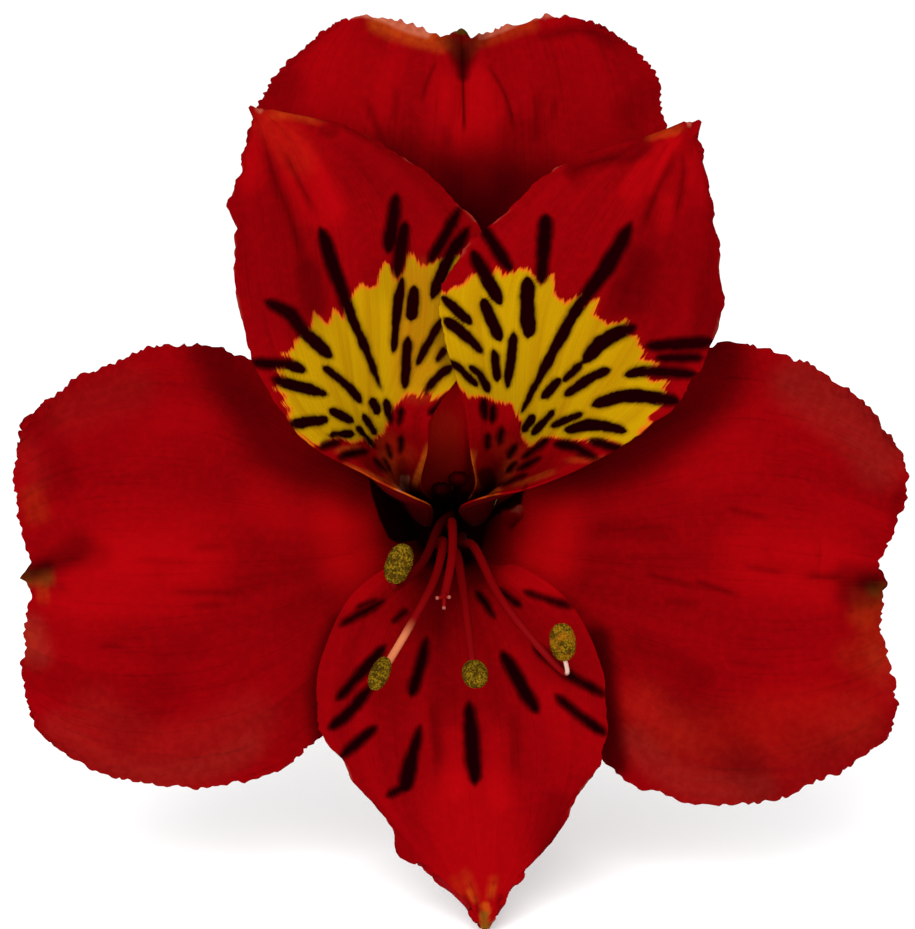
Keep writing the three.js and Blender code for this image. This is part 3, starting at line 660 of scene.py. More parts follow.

# %% Soft tints, painted light and painted shade on the sheet
# Each is the points of a line, then its width, how softly it fades and how strong it is.
# Painted light makes places brighter. Painted shade darkens creases, overlaps and places under other
# petals, along with a few dark marks of the petal's own. The blush holds pale tints with painted sheens and
# highlights along the margins.
TINTED = {
    "outer_tepal_top": dict(
        painted_light=[
            (350, 75, 350, 112, 50, 40, 0.1), (468, 95, 475, 140, 34, 26, 0.17),
            # the strong stroke lights the claw between the inner petals' tubes as painted light
            (450, 400, 442, 480, 30, 12, 0.95),
        ],
        blush_and_highlight=[
            (368, 14, 384, 18, 404, 27, 426, 34, 5, 5, 0.65), (352, 16, 372, 14, 392, 22, 5, 3, 0.4),
            (482, 37, 506, 28, 530, 18, 562, 13, 4.5, 3, 0.5),
        ],
        amber=[
            (378, 24, 404, 34, 440, 43, 4.5, 13, 0.24), (484, 40, 530, 25, 4.5, 10, 0.1),
            (444, 425, 445, 470, 16, 16, 0.09),
        ],
        olive=[(457, 30, 469, 30, 6, 3, 0.9), (452, 44, 463, 56, 474, 44, 6, 8, 0.15)],
        shade_and_dark_marks=[
            (444, 40, 456, 52, 463, 74, 4.5, 10, 0.45), (482, 40, 470, 52, 463, 74, 4.5, 10, 0.45),
            (463, 38, 463, 58, 12, 13, 0.52), (463, 54, 463, 76, 5, 8, 0.45),
            (463, 70, 465, 138, 1, 3, 0.9), (440, 56, 428, 80, 421, 108, 1, 4, 0.4),
            (484, 60, 500, 85, 508, 105, 515, 138, 1, 4, 0.5), (366, 95, 374, 120, 384, 148, 3, 6, 0.3),
            (398, 82, 394, 125, 3, 5, 0.25), (538, 85, 537, 150, 4, 6, 0.3),
            (556, 95, 551, 125, 3, 4, 0.25), (448, 150, 444, 120, 3, 6, 0.25),
            (528, 40, 556, 33, 585, 30, 607, 43, 628, 52, 4, 10, 0.35), (478, 185, 480, 228, 36, 50, 0.7),
            (385, 152, 430, 166, 462, 200, 480, 222, 5, 34, 0.45),
            (480, 222, 520, 190, 548, 178, 5, 34, 0.45), (400, 138, 425, 152, 26, 24, 0.12),
            (518, 140, 524, 180, 24, 26, 0.3), (262, 92, 290, 84, 10, 20, 0.2),
            (655, 90, 630, 110, 10, 20, 0.2), (590, 80, 605, 115, 40, 40, 0.1),
            (441, 491, 441, 496, 6, 4, 0.8),
        ],
    ),
    "outer_tepal_left": dict(
        painted_light=[
            (348, 500, 352, 560, 16, 44, 0.55), (280, 500, 312, 515, 30, 44, 0.16),
            (85, 588, 130, 575, 175, 570, 40, 50, 0.17), (205, 540, 130, 535, 30, 40, 0.1),
        ],
        amber=[
            (28, 480, 42, 530, 4, 18, 0.05), (34, 592, 52, 590, 4, 16, 0.09),
            (30, 620, 26, 660, 4, 16, 0.04),
        ],
        blush_and_highlight=[
            (30, 628, 38, 652, 8, 20, 0.055), (28, 450, 38, 478, 8, 20, 0.015),
            (95, 716, 150, 748, 200, 745, 250, 720, 16, 36, 0.022),
            (55, 725, 90, 755, 150, 777, 210, 770, 250, 748, 6, 20, 0.028),
            (70, 415, 130, 390, 12, 34, 0.015),
        ],
        olive=[(26, 577, 44, 577, 5, 12, 0.4), (42, 576, 58, 575, 4, 14, 0.15)],
        shade_and_dark_marks=[
            (26, 574, 46, 566, 5, 12, 0.66), (40, 570, 66, 556, 80, 546, 6, 20, 0.45),
            (60, 562, 100, 555, 5, 18, 0.25), (40, 582, 70, 588, 2, 8, 0.25),
            (212, 350, 240, 398, 265, 438, 300, 465, 350, 482, 10, 40, 0.62),
            (338, 627, 326, 660, 320, 700, 326, 738, 8, 18, 0.65), (165, 592, 255, 593, 1, 6, 0.3),
            (185, 607, 230, 604, 1, 5, 0.25), (95, 646, 125, 645, 1, 5, 0.3),
            (185, 548, 230, 546, 1, 6, 0.2), (125, 560, 200, 562, 1, 6, 0.15),
            (45, 430, 60, 482, 12, 24, 0.22), (75, 455, 92, 430, 130, 402, 20, 34, 0.14),
            (125, 730, 165, 690, 14, 30, 0.2), (160, 655, 195, 648, 6, 18, 0.15),
        ],
    ),
    "outer_tepal_right": dict(
        painted_light=[
            (548, 500, 545, 560, 16, 44, 0.55), (765, 555, 815, 560, 40, 46, 0.17),
            (700, 470, 738, 456, 24, 30, 0.09), (642, 705, 625, 690, 16, 20, 0.1),
            (785, 690, 805, 690, 20, 34, 0.09),
        ],
        amber=[
            (862, 614, 880, 608, 5, 20, 0.07), (872, 636, 880, 652, 5, 22, 0.05),
            (850, 655, 878, 672, 6, 22, 0.03), (640, 700, 668, 730, 12, 30, 0.02),
            (700, 735, 850, 715, 16, 40, 0.02),
        ],
        blush_and_highlight=[
            (880, 655, 890, 690, 5, 20, 0.015), (650, 715, 720, 765, 800, 770, 860, 728, 16, 40, 0.014),
            (632, 742, 665, 772, 700, 788, 760, 788, 8, 22, 0.04),
            (800, 385, 860, 430, 880, 460, 16, 34, 0.045), (511, 509, 527, 507, 2, 4, 0.4),
        ],
        olive=[(874, 589, 884, 590, 5, 11, 0.36), (858, 596, 872, 598, 5, 14, 0.08)],
        shade_and_dark_marks=[
            (884, 582, 866, 582, 5, 14, 0.5), (872, 580, 845, 573, 8, 16, 0.35),
            (845, 576, 800, 575, 1, 8, 0.3), (872, 594, 848, 594, 8, 18, 0.5),
            (724, 342, 722, 378, 700, 408, 660, 440, 620, 463, 560, 476, 10, 40, 0.65),
            (598, 640, 604, 680, 607, 720, 615, 764, 9, 18, 0.75), (720, 506, 775, 520, 1, 5, 0.3),
            (688, 579, 745, 598, 1, 6, 0.4), (640, 572, 704, 589, 1, 6, 0.35),
            (605, 528, 665, 535, 5, 16, 0.2), (640, 640, 705, 676, 5, 18, 0.2),
            (762, 785, 742, 758, 12, 26, 0.2), (795, 735, 828, 746, 10, 22, 0.15),
            (740, 565, 790, 572, 1, 5, 0.3), (660, 600, 705, 604, 1, 6, 0.25),
            (720, 660, 790, 668, 1, 6, 0.2), (900, 478, 893, 540, 4, 10, 0.25),
            (805, 385, 840, 410, 875, 445, 20, 34, 0.14), (524, 512, 508, 530, 3, 6, 0.6),
            (690, 700, 740, 760, 16, 34, 0.2),
        ],
    ),
    "inner_tepal_left": dict(
        painted_light=[
            (396, 425, 405, 450, 18, 14, 0.22), (276, 126, 300, 160, 325, 208, 18, 20, 0.2),
            (256, 150, 250, 180, 8, 16, 0.12), (288, 180, 300, 218, 6, 12, 0.12),
        ],
        amber=[
            (262, 115, 290, 115, 330, 123, 3, 7, 0.15), (270, 122, 300, 160, 10, 22, 0.03),
            (430, 440, 425, 460, 417, 480, 413, 494, 2.5, 4, 0.7),
            (338, 462, 366, 475, 390, 487, 2, 3, 0.3),
            (386, 485, 408, 495, 424, 499, 431, 505, 433, 512, 2.5, 2.5, 0.9),
            (386, 458, 394, 480, 10, 10, 0.16), (384, 440, 405, 455, 10, 14, 0.08),
            # the broad amber stroke over the right of the blotch is painted shade where the petal curves
            # away
            (420, 290, 420, 370, 26, 26, 0.2), (330, 452, 362, 448, 2, 4, 0.25),
        ],
        blush_and_highlight=[
            # the short strokes in the left tube are painted glints
            (256, 106, 264, 112, 3, 4, 0.5), (400, 489, 404, 476, 4.5, 1.5, 1.0),
            (409, 476, 407, 486, 4.2, 1.5, 0.7),
        ],
        shade_and_dark_marks=[
            (261, 122, 268, 152, 277, 182, 292, 220, 303, 262, 309, 292, 3, 10, 0.35),
            (309, 272, 313, 302, 12, 16, 0.4), (280, 140, 302, 186, 322, 226, 2, 8, 0.35),
            (324, 131, 333, 132, 5, 7, 0.3), (400, 275, 436, 290, 425, 365, 30, 26, 0.17),
            (404, 462, 405, 472, 6, 5, 0.4), (440, 330, 446, 360, 6, 12, 0.3),
            (262, 225, 292, 305, 34, 44, 0.2), (372, 160, 425, 195, 30, 40, 0.2),
        ],
    ),
    "inner_tepal_right": dict(
        painted_light=[
            (500, 408, 498, 440, 18, 14, 0.12), (677, 138, 655, 190, 5, 8, 0.21),
            (664, 142, 630, 190, 8, 12, 0.16), (690, 150, 688, 195, 4, 8, 0.12),
            (668, 200, 664, 228, 5, 10, 0.12),
        ],
        amber=[
            (640, 141, 670, 133, 688, 126, 3, 5, 0.15), (474, 447, 470, 462, 474, 480, 480, 492, 3, 4, 0.7),
            (562, 470, 528, 483, 505, 490, 2, 3, 0.2),
            (508, 489, 487, 494, 466, 499, 456, 506, 453, 514, 2.5, 2.5, 0.9),
            (510, 466, 504, 478, 8, 10, 0.16), (500, 445, 520, 455, 10, 14, 0.05),
            (560, 462, 620, 458, 2, 4, 0.12),
        ],
        blush_and_highlight=[(686, 123, 692, 124, 3, 4, 0.5)],
        shade_and_dark_marks=[
            (572, 170, 600, 160, 628, 156, 645, 148, 5, 12, 0.45), (572, 176, 578, 180, 6, 10, 0.2),
            (677, 142, 670, 165, 655, 195, 638, 242, 3, 7, 0.4), (684, 150, 683, 185, 672, 225, 3, 6, 0.3),
            (642, 262, 630, 302, 12, 22, 0.4), (620, 290, 612, 312, 8, 14, 0.25),
            (702, 220, 710, 330, 12, 20, 0.25), (485, 474, 490, 488, 11, 6, 0.75),
            (655, 262, 690, 325, 40, 44, 0.24),
        ],
    ),
    "inner_tepal_lower": dict(
        painted_light=[
            (470, 810, 482, 880, 50, 40, 0.21), (345, 598, 372, 580, 12, 14, 0.17),
            (508, 570, 548, 592, 12, 14, 0.21), (455, 740, 452, 790, 8, 16, 0.14),
            (500, 740, 500, 800, 8, 16, 0.12), (560, 700, 590, 750, 14, 30, 0.1),
        ],
        amber=[
            (462, 866, 478, 906, 2, 8, 0.1), (495, 872, 489, 904, 2, 7, 0.1),
            (450, 872, 468, 904, 2, 8, 0.05), (485, 908, 485, 926, 6, 5, 0.35),
            (467, 886, 477, 906, 2, 4, 0.26), (494, 882, 490, 900, 2, 4, 0.26),
        ],
        olive=[(484, 915, 485, 928, 4.5, 4, 0.6)],
        shade_and_dark_marks=[
            (420, 560, 425, 622, 16, 26, 0.3), (470, 540, 475, 575, 20, 16, 0.3),
            (432, 690, 441, 780, 3, 8, 0.3), (515, 700, 516, 782, 3, 10, 0.25),
            (556, 800, 545, 852, 8, 14, 0.3), (462, 892, 471, 911, 1, 5, 0.4),
            (502, 892, 496, 909, 1, 5, 0.4), (474, 892, 480, 918, 1, 4, 0.4),
            (440, 600, 445, 690, 10, 30, 0.2),
        ],
    ),
}
# Folds: the points of a line, its width and its depth in mm. A negative depth stands out.
FOLDS = {
    "outer_tepal_top": [
        (462, 26, 463, 60, 464, 130, 8, 0.5), (437, 62, 428, 80, 421, 102, 6, 0.15),
        (486, 60, 500, 85, 510, 105, 519, 142, 6, 0.2), (366, 95, 374, 120, 384, 148, 7, 0.2),
        (538, 85, 537, 150, 8, 0.2), (450, 80, 446, 130, 12, -0.25), (480, 80, 486, 130, 12, -0.25),
        (380, 40, 396, 56, 10, 0.3), (528, 38, 585, 28, 628, 49, 12, 0.4),
    ],
    "outer_tepal_left": [
        (28, 576, 48, 566, 96, 558, 12, 0.45), (40, 588, 80, 594, 9, 0.25), (90, 578, 170, 572, 30, -0.5),
        (175, 592, 245, 593, 6, 0.15), (60, 640, 180, 680, 34, 0.4), (60, 470, 160, 440, 40, 0.3),
    ],
    "outer_tepal_right": [
        (888, 582, 842, 580, 795, 579, 12, 0.45), (872, 604, 845, 614, 9, 0.25),
        (820, 556, 760, 552, 30, -0.5), (690, 580, 742, 597, 6, 0.15), (640, 572, 702, 588, 6, 0.15),
        (700, 650, 800, 690, 34, 0.4), (524, 512, 508, 530, 6, 0.5), (520, 503, 500, 514, 6, -0.4),
    ],
    "inner_tepal_left": [
        (261, 122, 268, 152, 277, 182, 292, 220, 309, 280, 8, 0.35),
        (286, 152, 302, 186, 318, 214, 6, 0.25), (276, 130, 296, 165, 318, 205, 9, -0.2),
        (250, 150, 256, 200, 10, -0.2),
    ],
    "inner_tepal_right": [
        (677, 142, 670, 165, 655, 195, 638, 242, 7, 0.3), (684, 150, 683, 185, 672, 225, 6, 0.2),
        (664, 142, 630, 190, 12, -0.25), (572, 170, 600, 160, 630, 156, 8, 0.4),
        (642, 262, 628, 305, 14, 0.3),
    ],
    "inner_tepal_lower": [
        (432, 690, 441, 790, 7, 0.2), (515, 690, 514, 790, 8, 0.2), (460, 720, 470, 860, 16, -0.2),
        (470, 880, 478, 910, 4, 0.25), (494, 880, 489, 910, 4, 0.25),
    ],
}


def curve(numbers):
    """A smooth curve through x, y, x, y and so on, as a finer line of points."""
    knots = np.array(numbers, float).reshape(-1, 2)
    return along(knots, np.linspace(0, 1, 4 * (len(knots) - 2) + 2))


def line_distance(points, line):
    """The distance in sheet units from a line of points, and how far along it the nearest is."""
    lengths = np.linalg.norm(np.diff(line, axis=0), axis=1)
    nearest, share, done = np.full(len(points), 1e9), np.zeros(len(points)), 0.0
    for start, end, length in zip(line[:-1], line[1:], lengths):
        t = np.clip((points - start) @ (end - start) / length**2, 0, 1)
        away = np.linalg.norm(points - start - t[:, None] * (end - start), axis=1)
        share = np.where(away < nearest, (done + t * length) / lengths.sum(), share)
        nearest = np.minimum(nearest, away)
        done += length
    return nearest, share


def streak_distance(points, streak):
    """Distance from the outline of a streak with pointed ends, negative inside it."""
    widths = 2 - len(streak) % 2
    away, share = line_distance(points, curve(streak[:-widths]))
    start, end = streak[-widths], streak[-1]
    return away - (start + (end - start) * share) / 2 * (1 - np.abs(2 * share - 1) ** 5) ** 0.6


def outline_distance(points, outline):
    """Distance in sheet units from a closed outline, positive inside it."""
    line = np.array(outline, float)
    inside = np.zeros(len(points), bool)
    for start, end in zip(line, np.roll(line, -1, axis=0)):
        crosses = (start[1] > points[:, 1]) != (end[1] > points[:, 1])
        rise = end[1] - start[1] or 1.0  # a level side is never crossed
        crossing = start[0] + (points[:, 1] - start[1]) * (end[0] - start[0]) / rise
        inside ^= crosses & (points[:, 0] < crossing)
    nearest, _ = line_distance(points, np.vstack([line, line[:1]]))
    return np.where(inside, nearest, -nearest)


THIN = 4  # strokes no wider than this fade towards their ends
FAR = 40.0  # sheet units, where a petal has no such mark


def tinted(points, strokes):
    """The strength of overlapping soft strokes, from 0 to 1."""
    bare = np.ones(len(points))
    for *numbers, width, softness, strength in strokes:
        away, share = line_distance(points, curve(numbers))
        drawn = strength * smooth(width / 2 + softness, width / 2, away)
        if width <= THIN:
            drawn *= smooth(0, 0.3, share) * smooth(1, 0.7, share)
        bare *= 1 - drawn
    return 1 - bare


def folded(name, points):
    """How deep the folds of a petal are at points of the sheet, in mm."""
    depth = np.zeros(len(points))
    for *numbers, width, deep in FOLDS[name]:
        away, share = line_distance(points, curve(numbers))
        ends = smooth(0, 0.15, share) ** 0.5 * smooth(1, 0.7, share)
        depth += deep * np.exp(-((2 * away / width) ** 2)) * ends
    return depth


def marks(name, points):
    """The distances from a petal's streaks and blotch, in mm."""
    streaks = [streak_distance(points, streak) for streak in STREAKS.get(name, [])]
    far = np.full(len(points), FAR)
    blotch = outline_distance(points, BLOTCHES[name]) if name in BLOTCHES else -far
    return np.minimum.reduce([*streaks, far]) * SHEET_UNIT, np.maximum(blotch, -far) * SHEET_UNIT


print({name: len(strokes) for name, strokes in STREAKS.items()}, "streaks")

# %% [markdown]
# ## The margin
# The outer petals' margins are finely toothed, and every margin wanders a little. Jagged lines
# with uneven steps and slow waves are added to the formula's smooth margin. Lobes and bites that
# this flower has are added one by one. All fade out over the last part of the petal's width.

# %% Jagged margins
PETAL_LENGTH = 52.0  # along a petal in mm, near enough to space the teeth
TIP_HALF_WIDTH = 15.0
RIGHT_START = 80.0  # the right side takes its teeth from further along the jagged line, in mm
TEETH = 640  # enough for both sides of a petal
TOOTH_SPACING = 0.28
TOOTH_HEIGHT = {"outer": 0.24, "inner": 0.12}
WANDER = 0.1  # how far a margin wanders in slow waves, in mm
# Each lobe is where it is on a side or on the tip, its width, and how far it stands out in mm.
LOBES = {
    "outer_tepal_top": dict(
        left=[(0.93, 0.08, -0.45), (0.83, 0.03, -0.5)],
        right=[(0.94, 0.04, -0.25), (0.87, 0.05, 0.4)],
        tip=[
            (0.0, 0.035, 0.9), (-0.12, 0.06, -0.3), (0.1, 0.05, -0.2), (-0.5, 0.25, 0.45), (0.5, 0.3, 0.5),
        ],
    ),
    "outer_tepal_left": dict(
        left=[(0.85, 0.08, -0.3)],
        right=[(0.83, 0.05, -0.6)],
        tip=[(0.0, 0.035, 0.6), (0.12, 0.06, -0.35), (-0.14, 0.07, -0.3)],
    ),
    "outer_tepal_right": dict(
        right=[(0.63, 0.04, 0.6), (0.88, 0.07, -0.45)],
        tip=[
            (0.0, 0.035, 0.6), (-0.16, 0.08, -0.6), (0.32, 0.12, -0.5), (-0.62, 0.22, 0.8),
            (0.82, 0.14, 0.6),
        ],
    ),
    "inner_tepal_left": dict(
        left=[(0.87, 0.015, -0.3), (0.81, 0.015, 0.35), (0.775, 0.012, -0.4), (0.7, 0.02, 0.2)],
        tip=[(-0.4, 0.25, 1.1)],
    ),
    "inner_tepal_right": dict(
        right=[
            (0.94, 0.04, -0.7), (0.86, 0.015, 0.2), (0.8, 0.012, -0.3), (0.76, 0.06, 0.25),
            (0.71, 0.015, 0.3), (0.62, 0.012, -0.35),
        ],
        tip=[(0.5, 0.3, 0.9)],
    ),
    "inner_tepal_lower": dict(
        left=[
            (0.65, 0.025, 0.4), (0.7, 0.018, -0.4), (0.755, 0.022, 0.45), (0.812, 0.02, 1.05),
            (0.845, 0.014, -0.8), (0.9, 0.03, -0.4), (0.98, 0.02, -0.4),
        ],
        right=[
            (0.665, 0.02, -0.5), (0.727, 0.022, -0.65), (0.795, 0.018, 1.15), (0.83, 0.01, 0.35),
            (0.868, 0.014, -0.4), (0.955, 0.02, 0.25), (0.99, 0.015, -0.3),
        ],
    ),
}


def jagged(place, seed, spacing, height):
    """Teeth in mm at places along a margin, straight between uneven knots."""
    draw = np.random.default_rng(seed)
    knots = np.cumsum(draw.uniform(0.5, 1.5, TEETH) * spacing)
    return np.interp(place, knots, draw.uniform(-height, height, TEETH))


def wavy(place, seed, spacing, height):
    """A smooth wander in mm along a margin, of three waves that never match."""
    phases = np.random.default_rng(seed).uniform(0, 2 * np.pi, 3)
    turns = 2 * np.pi * place / spacing
    return sum(height / (k + 1) * np.sin(turns * (1 + 0.61 * k) + phases[k]) for k in range(3))


def lobes(place, shapes):
    """Soft lobes and bites in mm at places along a side or across the tip."""
    bumps = (out * np.exp(-(((place - middle) / wide) ** 2)) for middle, wide, out in shapes)
    return sum(bumps, 0 * place)


def margin(name, petal, u, v):
    """How far the two sides and the tip stand out from the smooth margin, in mm."""
    own, seed = LOBES[name], 10 * list(PETALS).index(name)
    teeth = TOOTH_HEIGHT[name.split("_")[0]]
    run = u * PETAL_LENGTH + np.where(v > 0, RIGHT_START, 0)
    sides = jagged(run, seed, TOOTH_SPACING, teeth) + wavy(run, seed + 1, 5.0, WANDER)
    sides += np.where(v > 0, lobes(u, own.get("right", [])), lobes(u, own.get("left", [])))
    tip = lobes(v, own.get("tip", []))
    if petal["lobe"]:  # the broad notched tip of an outer petal is toothed as well
        across = (v + 1) * TIP_HALF_WIDTH
        tip += jagged(across, seed + 2, TOOTH_SPACING, teeth) + wavy(across, seed + 3, 4.5, WANDER)
    return sides * smooth(0.45, 0.6, u), tip


# %% A point of a petal
CREASE_WIDTH = 0.07  # of the half width
LEFT_PHASE = 2.1  # keeps the waves of the left margin out of step with the right one's


def tipward(petal):
    """The direction in which a petal's midrib ends."""
    near, last = along(petal["stations"], np.array([0.9, 1.0]))[:, 0:3]
    return unit(last - near)


def petal_sheet(petal, u, v):
    """The petal's middle surface before its relief, in mm of the bloom."""
    s = along(petal["stations"], u)
    middle, left, right, roll = s[:, 0:3], s[:, 3:6], s[:, 6:9], s[:, 9]
    turn = (np.sin(roll * v) / np.sin(roll))[:, None]
    rise = ((1 - np.cos(roll * v)) / (1 - np.cos(roll)))[:, None]
    reach = petal["lobe"] * np.sin(np.pi * np.minimum(np.abs(v), 1) ** 1.6) * smooth(0.8, 1, u)
    section = middle + (right - left) / 2 * turn + ((right + left) / 2 - middle) * rise
    return section + tipward(petal) * reach[:, None]


def lengthwise(petal, u, v, step):
    """The way from a point of a petal to one further along it."""
    later, earlier = np.minimum(u + step, 1), np.maximum(u - step, 0)
    return petal_sheet(petal, later, v) - petal_sheet(petal, earlier, v)


def petal_normal(petal, u, v):
    """Which way the upper face of a petal looks."""
    step = 0.002
    across = petal_sheet(petal, u, v + step) - petal_sheet(petal, u, v - step)
    return unit(np.cross(across, lengthwise(petal, u, v, step)))


def petal_points(name, petal, u, v):
    """The petal's middle surface in mm of the bloom, with its folds, waves and jagged margin."""
    sides, tip = margin(name, petal, u, v)
    side = np.where(v > 0, 1.0, -1.0)
    normal = petal_normal(petal, u, v)
    outward = unit(np.cross(lengthwise(petal, u, side, 0.01), normal))
    outward *= (side * sides * smooth(0.75, 1, np.abs(v)))[:, None]
    forward = tipward(petal) * (tip * smooth(0.94, 1, u))[:, None]
    base = petal_sheet(petal, u, v) + outward + forward
    crease = -petal["crease"] * np.exp(-((v / CREASE_WIDTH) ** 2)) * smooth(0.3, 0.5, u)
    waves = np.sin(2 * np.pi * petal["waves"] * u + np.where(v > 0, 0, LEFT_PHASE))
    ripple = petal["wave"] * v**4 * waves * smooth(0.4, 0.6, u)
    relief = crease + ripple - folded(name, on_sheet(base))
    return base + normal * relief[:, None]


# %% [markdown]
# ## Building the petals
# The rows of each grid crowd towards the tip, where the markings are. Deep in the throat, where
# little light goes, the petals are painted dark maroon as shade, and so are the dark gaps beside
# it. The margins of the inner petals carry pale painted highlights in places. The tightly rolled
# claws of the inner petals leave room for a thinner blade only.

# %% Six petals
FINE_GRID = (240, 160)  # rows and columns
SMALLER_GRIDS = {"inner_tepal_lower": (200, 130)}
DENSER = 0.8
THICKNESS = {"outer": 0.6, "inner": 0.5}  # in mm
PETAL_EDGE = 0.35  # of that thickness is left at the margin
KEEL_WIDTH = 0.05  # of the half width
EDGE_HIGHLIGHT_SEED = 5
SOFT_LAYERS = ("painted_light", "amber", "blush_and_highlight", "olive", "shade_and_dark_marks")
# where the painted shade of the throat starts and is full, in mm behind its mouth
THROAT_SHADE = {
    "outer": (26, 38),
    "inner": (16, 24),
    "outer_tepal_top": (27, 34),
    "inner_tepal_lower": (16, 26),
}
PETAL_NAMES = {
    "outer_tepal_top": "top_outer_petal",
    "outer_tepal_left": "left_outer_petal",
    "outer_tepal_right": "right_outer_petal",
    "inner_tepal_left": "left_inner_petal",
    "inner_tepal_right": "right_inner_petal",
    "inner_tepal_lower": "lower_inner_petal",
}


def layered(*shares):
    """The share, from 0 to 1, of several layers that lie over each other."""
    bare = 1
    for share in shares:
        bare = bare * (1 - share)
    return 1 - bare


for node, petal in PETALS.items():
    kind = node.split("_")[0]
    shape = {}

    def place(t, v):
        shape["u"] = t**DENSER
        shape["points"] = petal_points(node, petal, shape["u"], v)
        return bloom_to_part(shape["points"])

    piece, v = grid_piece(PETAL_NAMES[node], *SMALLER_GRIDS.get(node, FINE_GRID), place)
    u, points = shape["u"], shape["points"]
    sheet, behind = on_sheet(points), -points[:, 2]
    streak, blotch = marks(node, sheet)
    soft = {layer: tinted(sheet, TINTED[node].get(layer, [])) for layer in SOFT_LAYERS}
    # painted shade: the dark gaps beside the throat and the deep throat itself join the other painted shade
    gap_shade = np.maximum.reduce([smooth(-1, 1, outline_distance(sheet, outline)) for outline in SHADED_GAPS])
    throat = 0.96 * smooth(*THROAT_SHADE.get(node, THROAT_SHADE[kind]), behind)
    soft["shade_and_dark_marks"] = layered(soft["shade_and_dark_marks"], gap_shade * smooth(5, 7, behind), throat)
    if kind == "inner":
        # pale painted highlights in uneven dashes along the inner petals' margins
        uneven = smooth(0.2, 0.8, jagged(u * PETAL_LENGTH, EDGE_HIGHLIGHT_SEED, 0.8, 1.0))
        edge_highlight = smooth(0.965, 0.99, np.abs(v)) * uneven * smooth(0.6, 0.7, u)
        soft["blush_and_highlight"] = layered(soft["blush_and_highlight"], 0.2 * edge_highlight)
    keel = 0.75 * np.exp(-((v / KEEL_WIDTH) ** 2)) * smooth(0.35, 0.95, u)
    # on the back, the claw darkens partly from its own colour and partly as painted shade of the throat
    claw = 0.65 * smooth(5, 11, behind) if kind == "inner" else 0.35 * smooth(18, 34, behind)
    store(piece, streak=streak, blotch=blotch, keel=keel, claw=claw, **soft)
    thicken(piece, v, THICKNESS[kind], PETAL_EDGE, petal_front, petal_back)
    finish_piece(piece, node, f"{kind}_tepal")
    print(piece.name, len(piece.data.polygons), "faces")

# %% [markdown]
# ## Stalks
# A stalk is a grid rolled up round a curve. Its first and last rows shrink to a point, which
# closes it. The same helper makes filaments, anthers, the style, the ovary and the stem.

# %% A closed stalk along a curve
def stalk_piece(name, path, radius, rows, sides, to_part):
    """A closed stalk round a path; radius(t, angle) is in mm."""
    kept, step = {}, 0.01

    def place(u, v):
        row = np.round(u * rows)
        t = np.clip((row - 1) / (rows - 2), 0, 1)
        angle = np.pi * (v + 1)
        centre = along(path, t)
        forward = unit(along(path, np.minimum(t + step, 1)) - along(path, np.maximum(t - step, 0)))
        up = unit(np.cross(forward, [1.0, 0.0, 0.0]))
        right = np.cross(up, forward)
        r = radius(t, angle) * np.where((row == 0) | (row == rows), 0, 1)
        kept["t"] = t
        ring = right * (r * np.sin(angle))[:, None] + up * (r * np.cos(angle))[:, None]
        return to_part(centre + ring)

    piece, _ = grid_piece(name, rows, sides, place)
    store(piece, along=kept["t"])
    close(piece)
    return piece


# %% [markdown]
# ## Stamens
# Four open stamens reach out over the lower petal, each with an oblong anther that is covered
# in olive pollen. Two younger ones, still closed, stay down in the throat, dark partly from their
# own colour and partly as painted shade. A stalk has a smooth, faintly shiny skin, and pollen is
# dry grain that doesn't shine at all.

# %% Stamen materials
def stalk_material(name, low, high, start, end, roughness, gloss):
    """A smooth stalk that turns from one colour to another along its length."""
    material, tree = new_material(name)
    t = add(tree, "Attribute", attribute_name="along", output="Fac")
    share = add(tree, "MapRange", {"Value": t, "From Min": start, "From Max": end}, **SOFT)
    face = add(tree, "Mix", {"Factor": share, 6: colour(low), 7: colour(high)}, **BLEND)
    place = add(tree, "TexCoord", output="Object")
    noise = add(tree, "TexNoise", {"Vector": place, "Scale": 900.0, "Detail": 2.0})
    bump = add(tree, "Bump", {"Height": noise, "Strength": 0.15, "Distance": 0.0001})
    surface_of(tree, face, bump, Roughness=roughness, Specular_IOR_Level=gloss)
    return material


def pollen_material(name, light, dark, rust=None):
    """Pollen grains about 0.2 mm across, painted lighter on top and darker between as shade, with rusty
    patches.
    """
    material, tree = new_material(name)
    place = add(tree, "TexCoord", output="Object")
    grains = add(tree, "TexVoronoi", {"Vector": place, "Scale": 4800.0}, output="Distance")
    clumps = add(tree, "TexNoise", {"Vector": place, "Scale": 1500.0, "Detail": 4.0})
    # the dark between the grains is painted shade; the clumps are uneven tone
    layers = [(grains, 0.25, 0.75, 1.0, dark), (clumps, 0.5, 0.6, 0.8, dark)]
    if rust:
        patches = add(tree, "TexNoise", {"Vector": place, "Scale": 700.0, "Detail": 2.0})
        layers.append((patches, 0.5, 0.62, 0.6, rust))
    face = colour(light)
    for value, start, end, top, over in layers:
        limits = {"Value": value, "From Min": start, "From Max": end, "To Max": top}
        share = add(tree, "MapRange", limits)
        face = add(tree, "Mix", {"Factor": share, 6: face, 7: colour(over)}, **BLEND)
    height = add(tree, "Math", {0: clumps, 1: grains}, operation="SUBTRACT")
    bump = add(tree, "Bump", {"Height": height, "Strength": 0.8, "Distance": 0.00015})
    surface_of(tree, face, bump, Roughness=0.95, Specular_IOR_Level=0.0)
    return material


RED_STALK = "#5e0103"
plain_stalk = stalk_material("red filament", RED_STALK, RED_STALK, 0.5, 1.0, 0.5, 0.02)
# filament 1 passes through shade under its anther: its darker red is painted shade
shaded_stalk = stalk_material("filament darkened as painted shade", "#300102", "#4a0102", 0.3, 0.8, 0.5, 0.01)
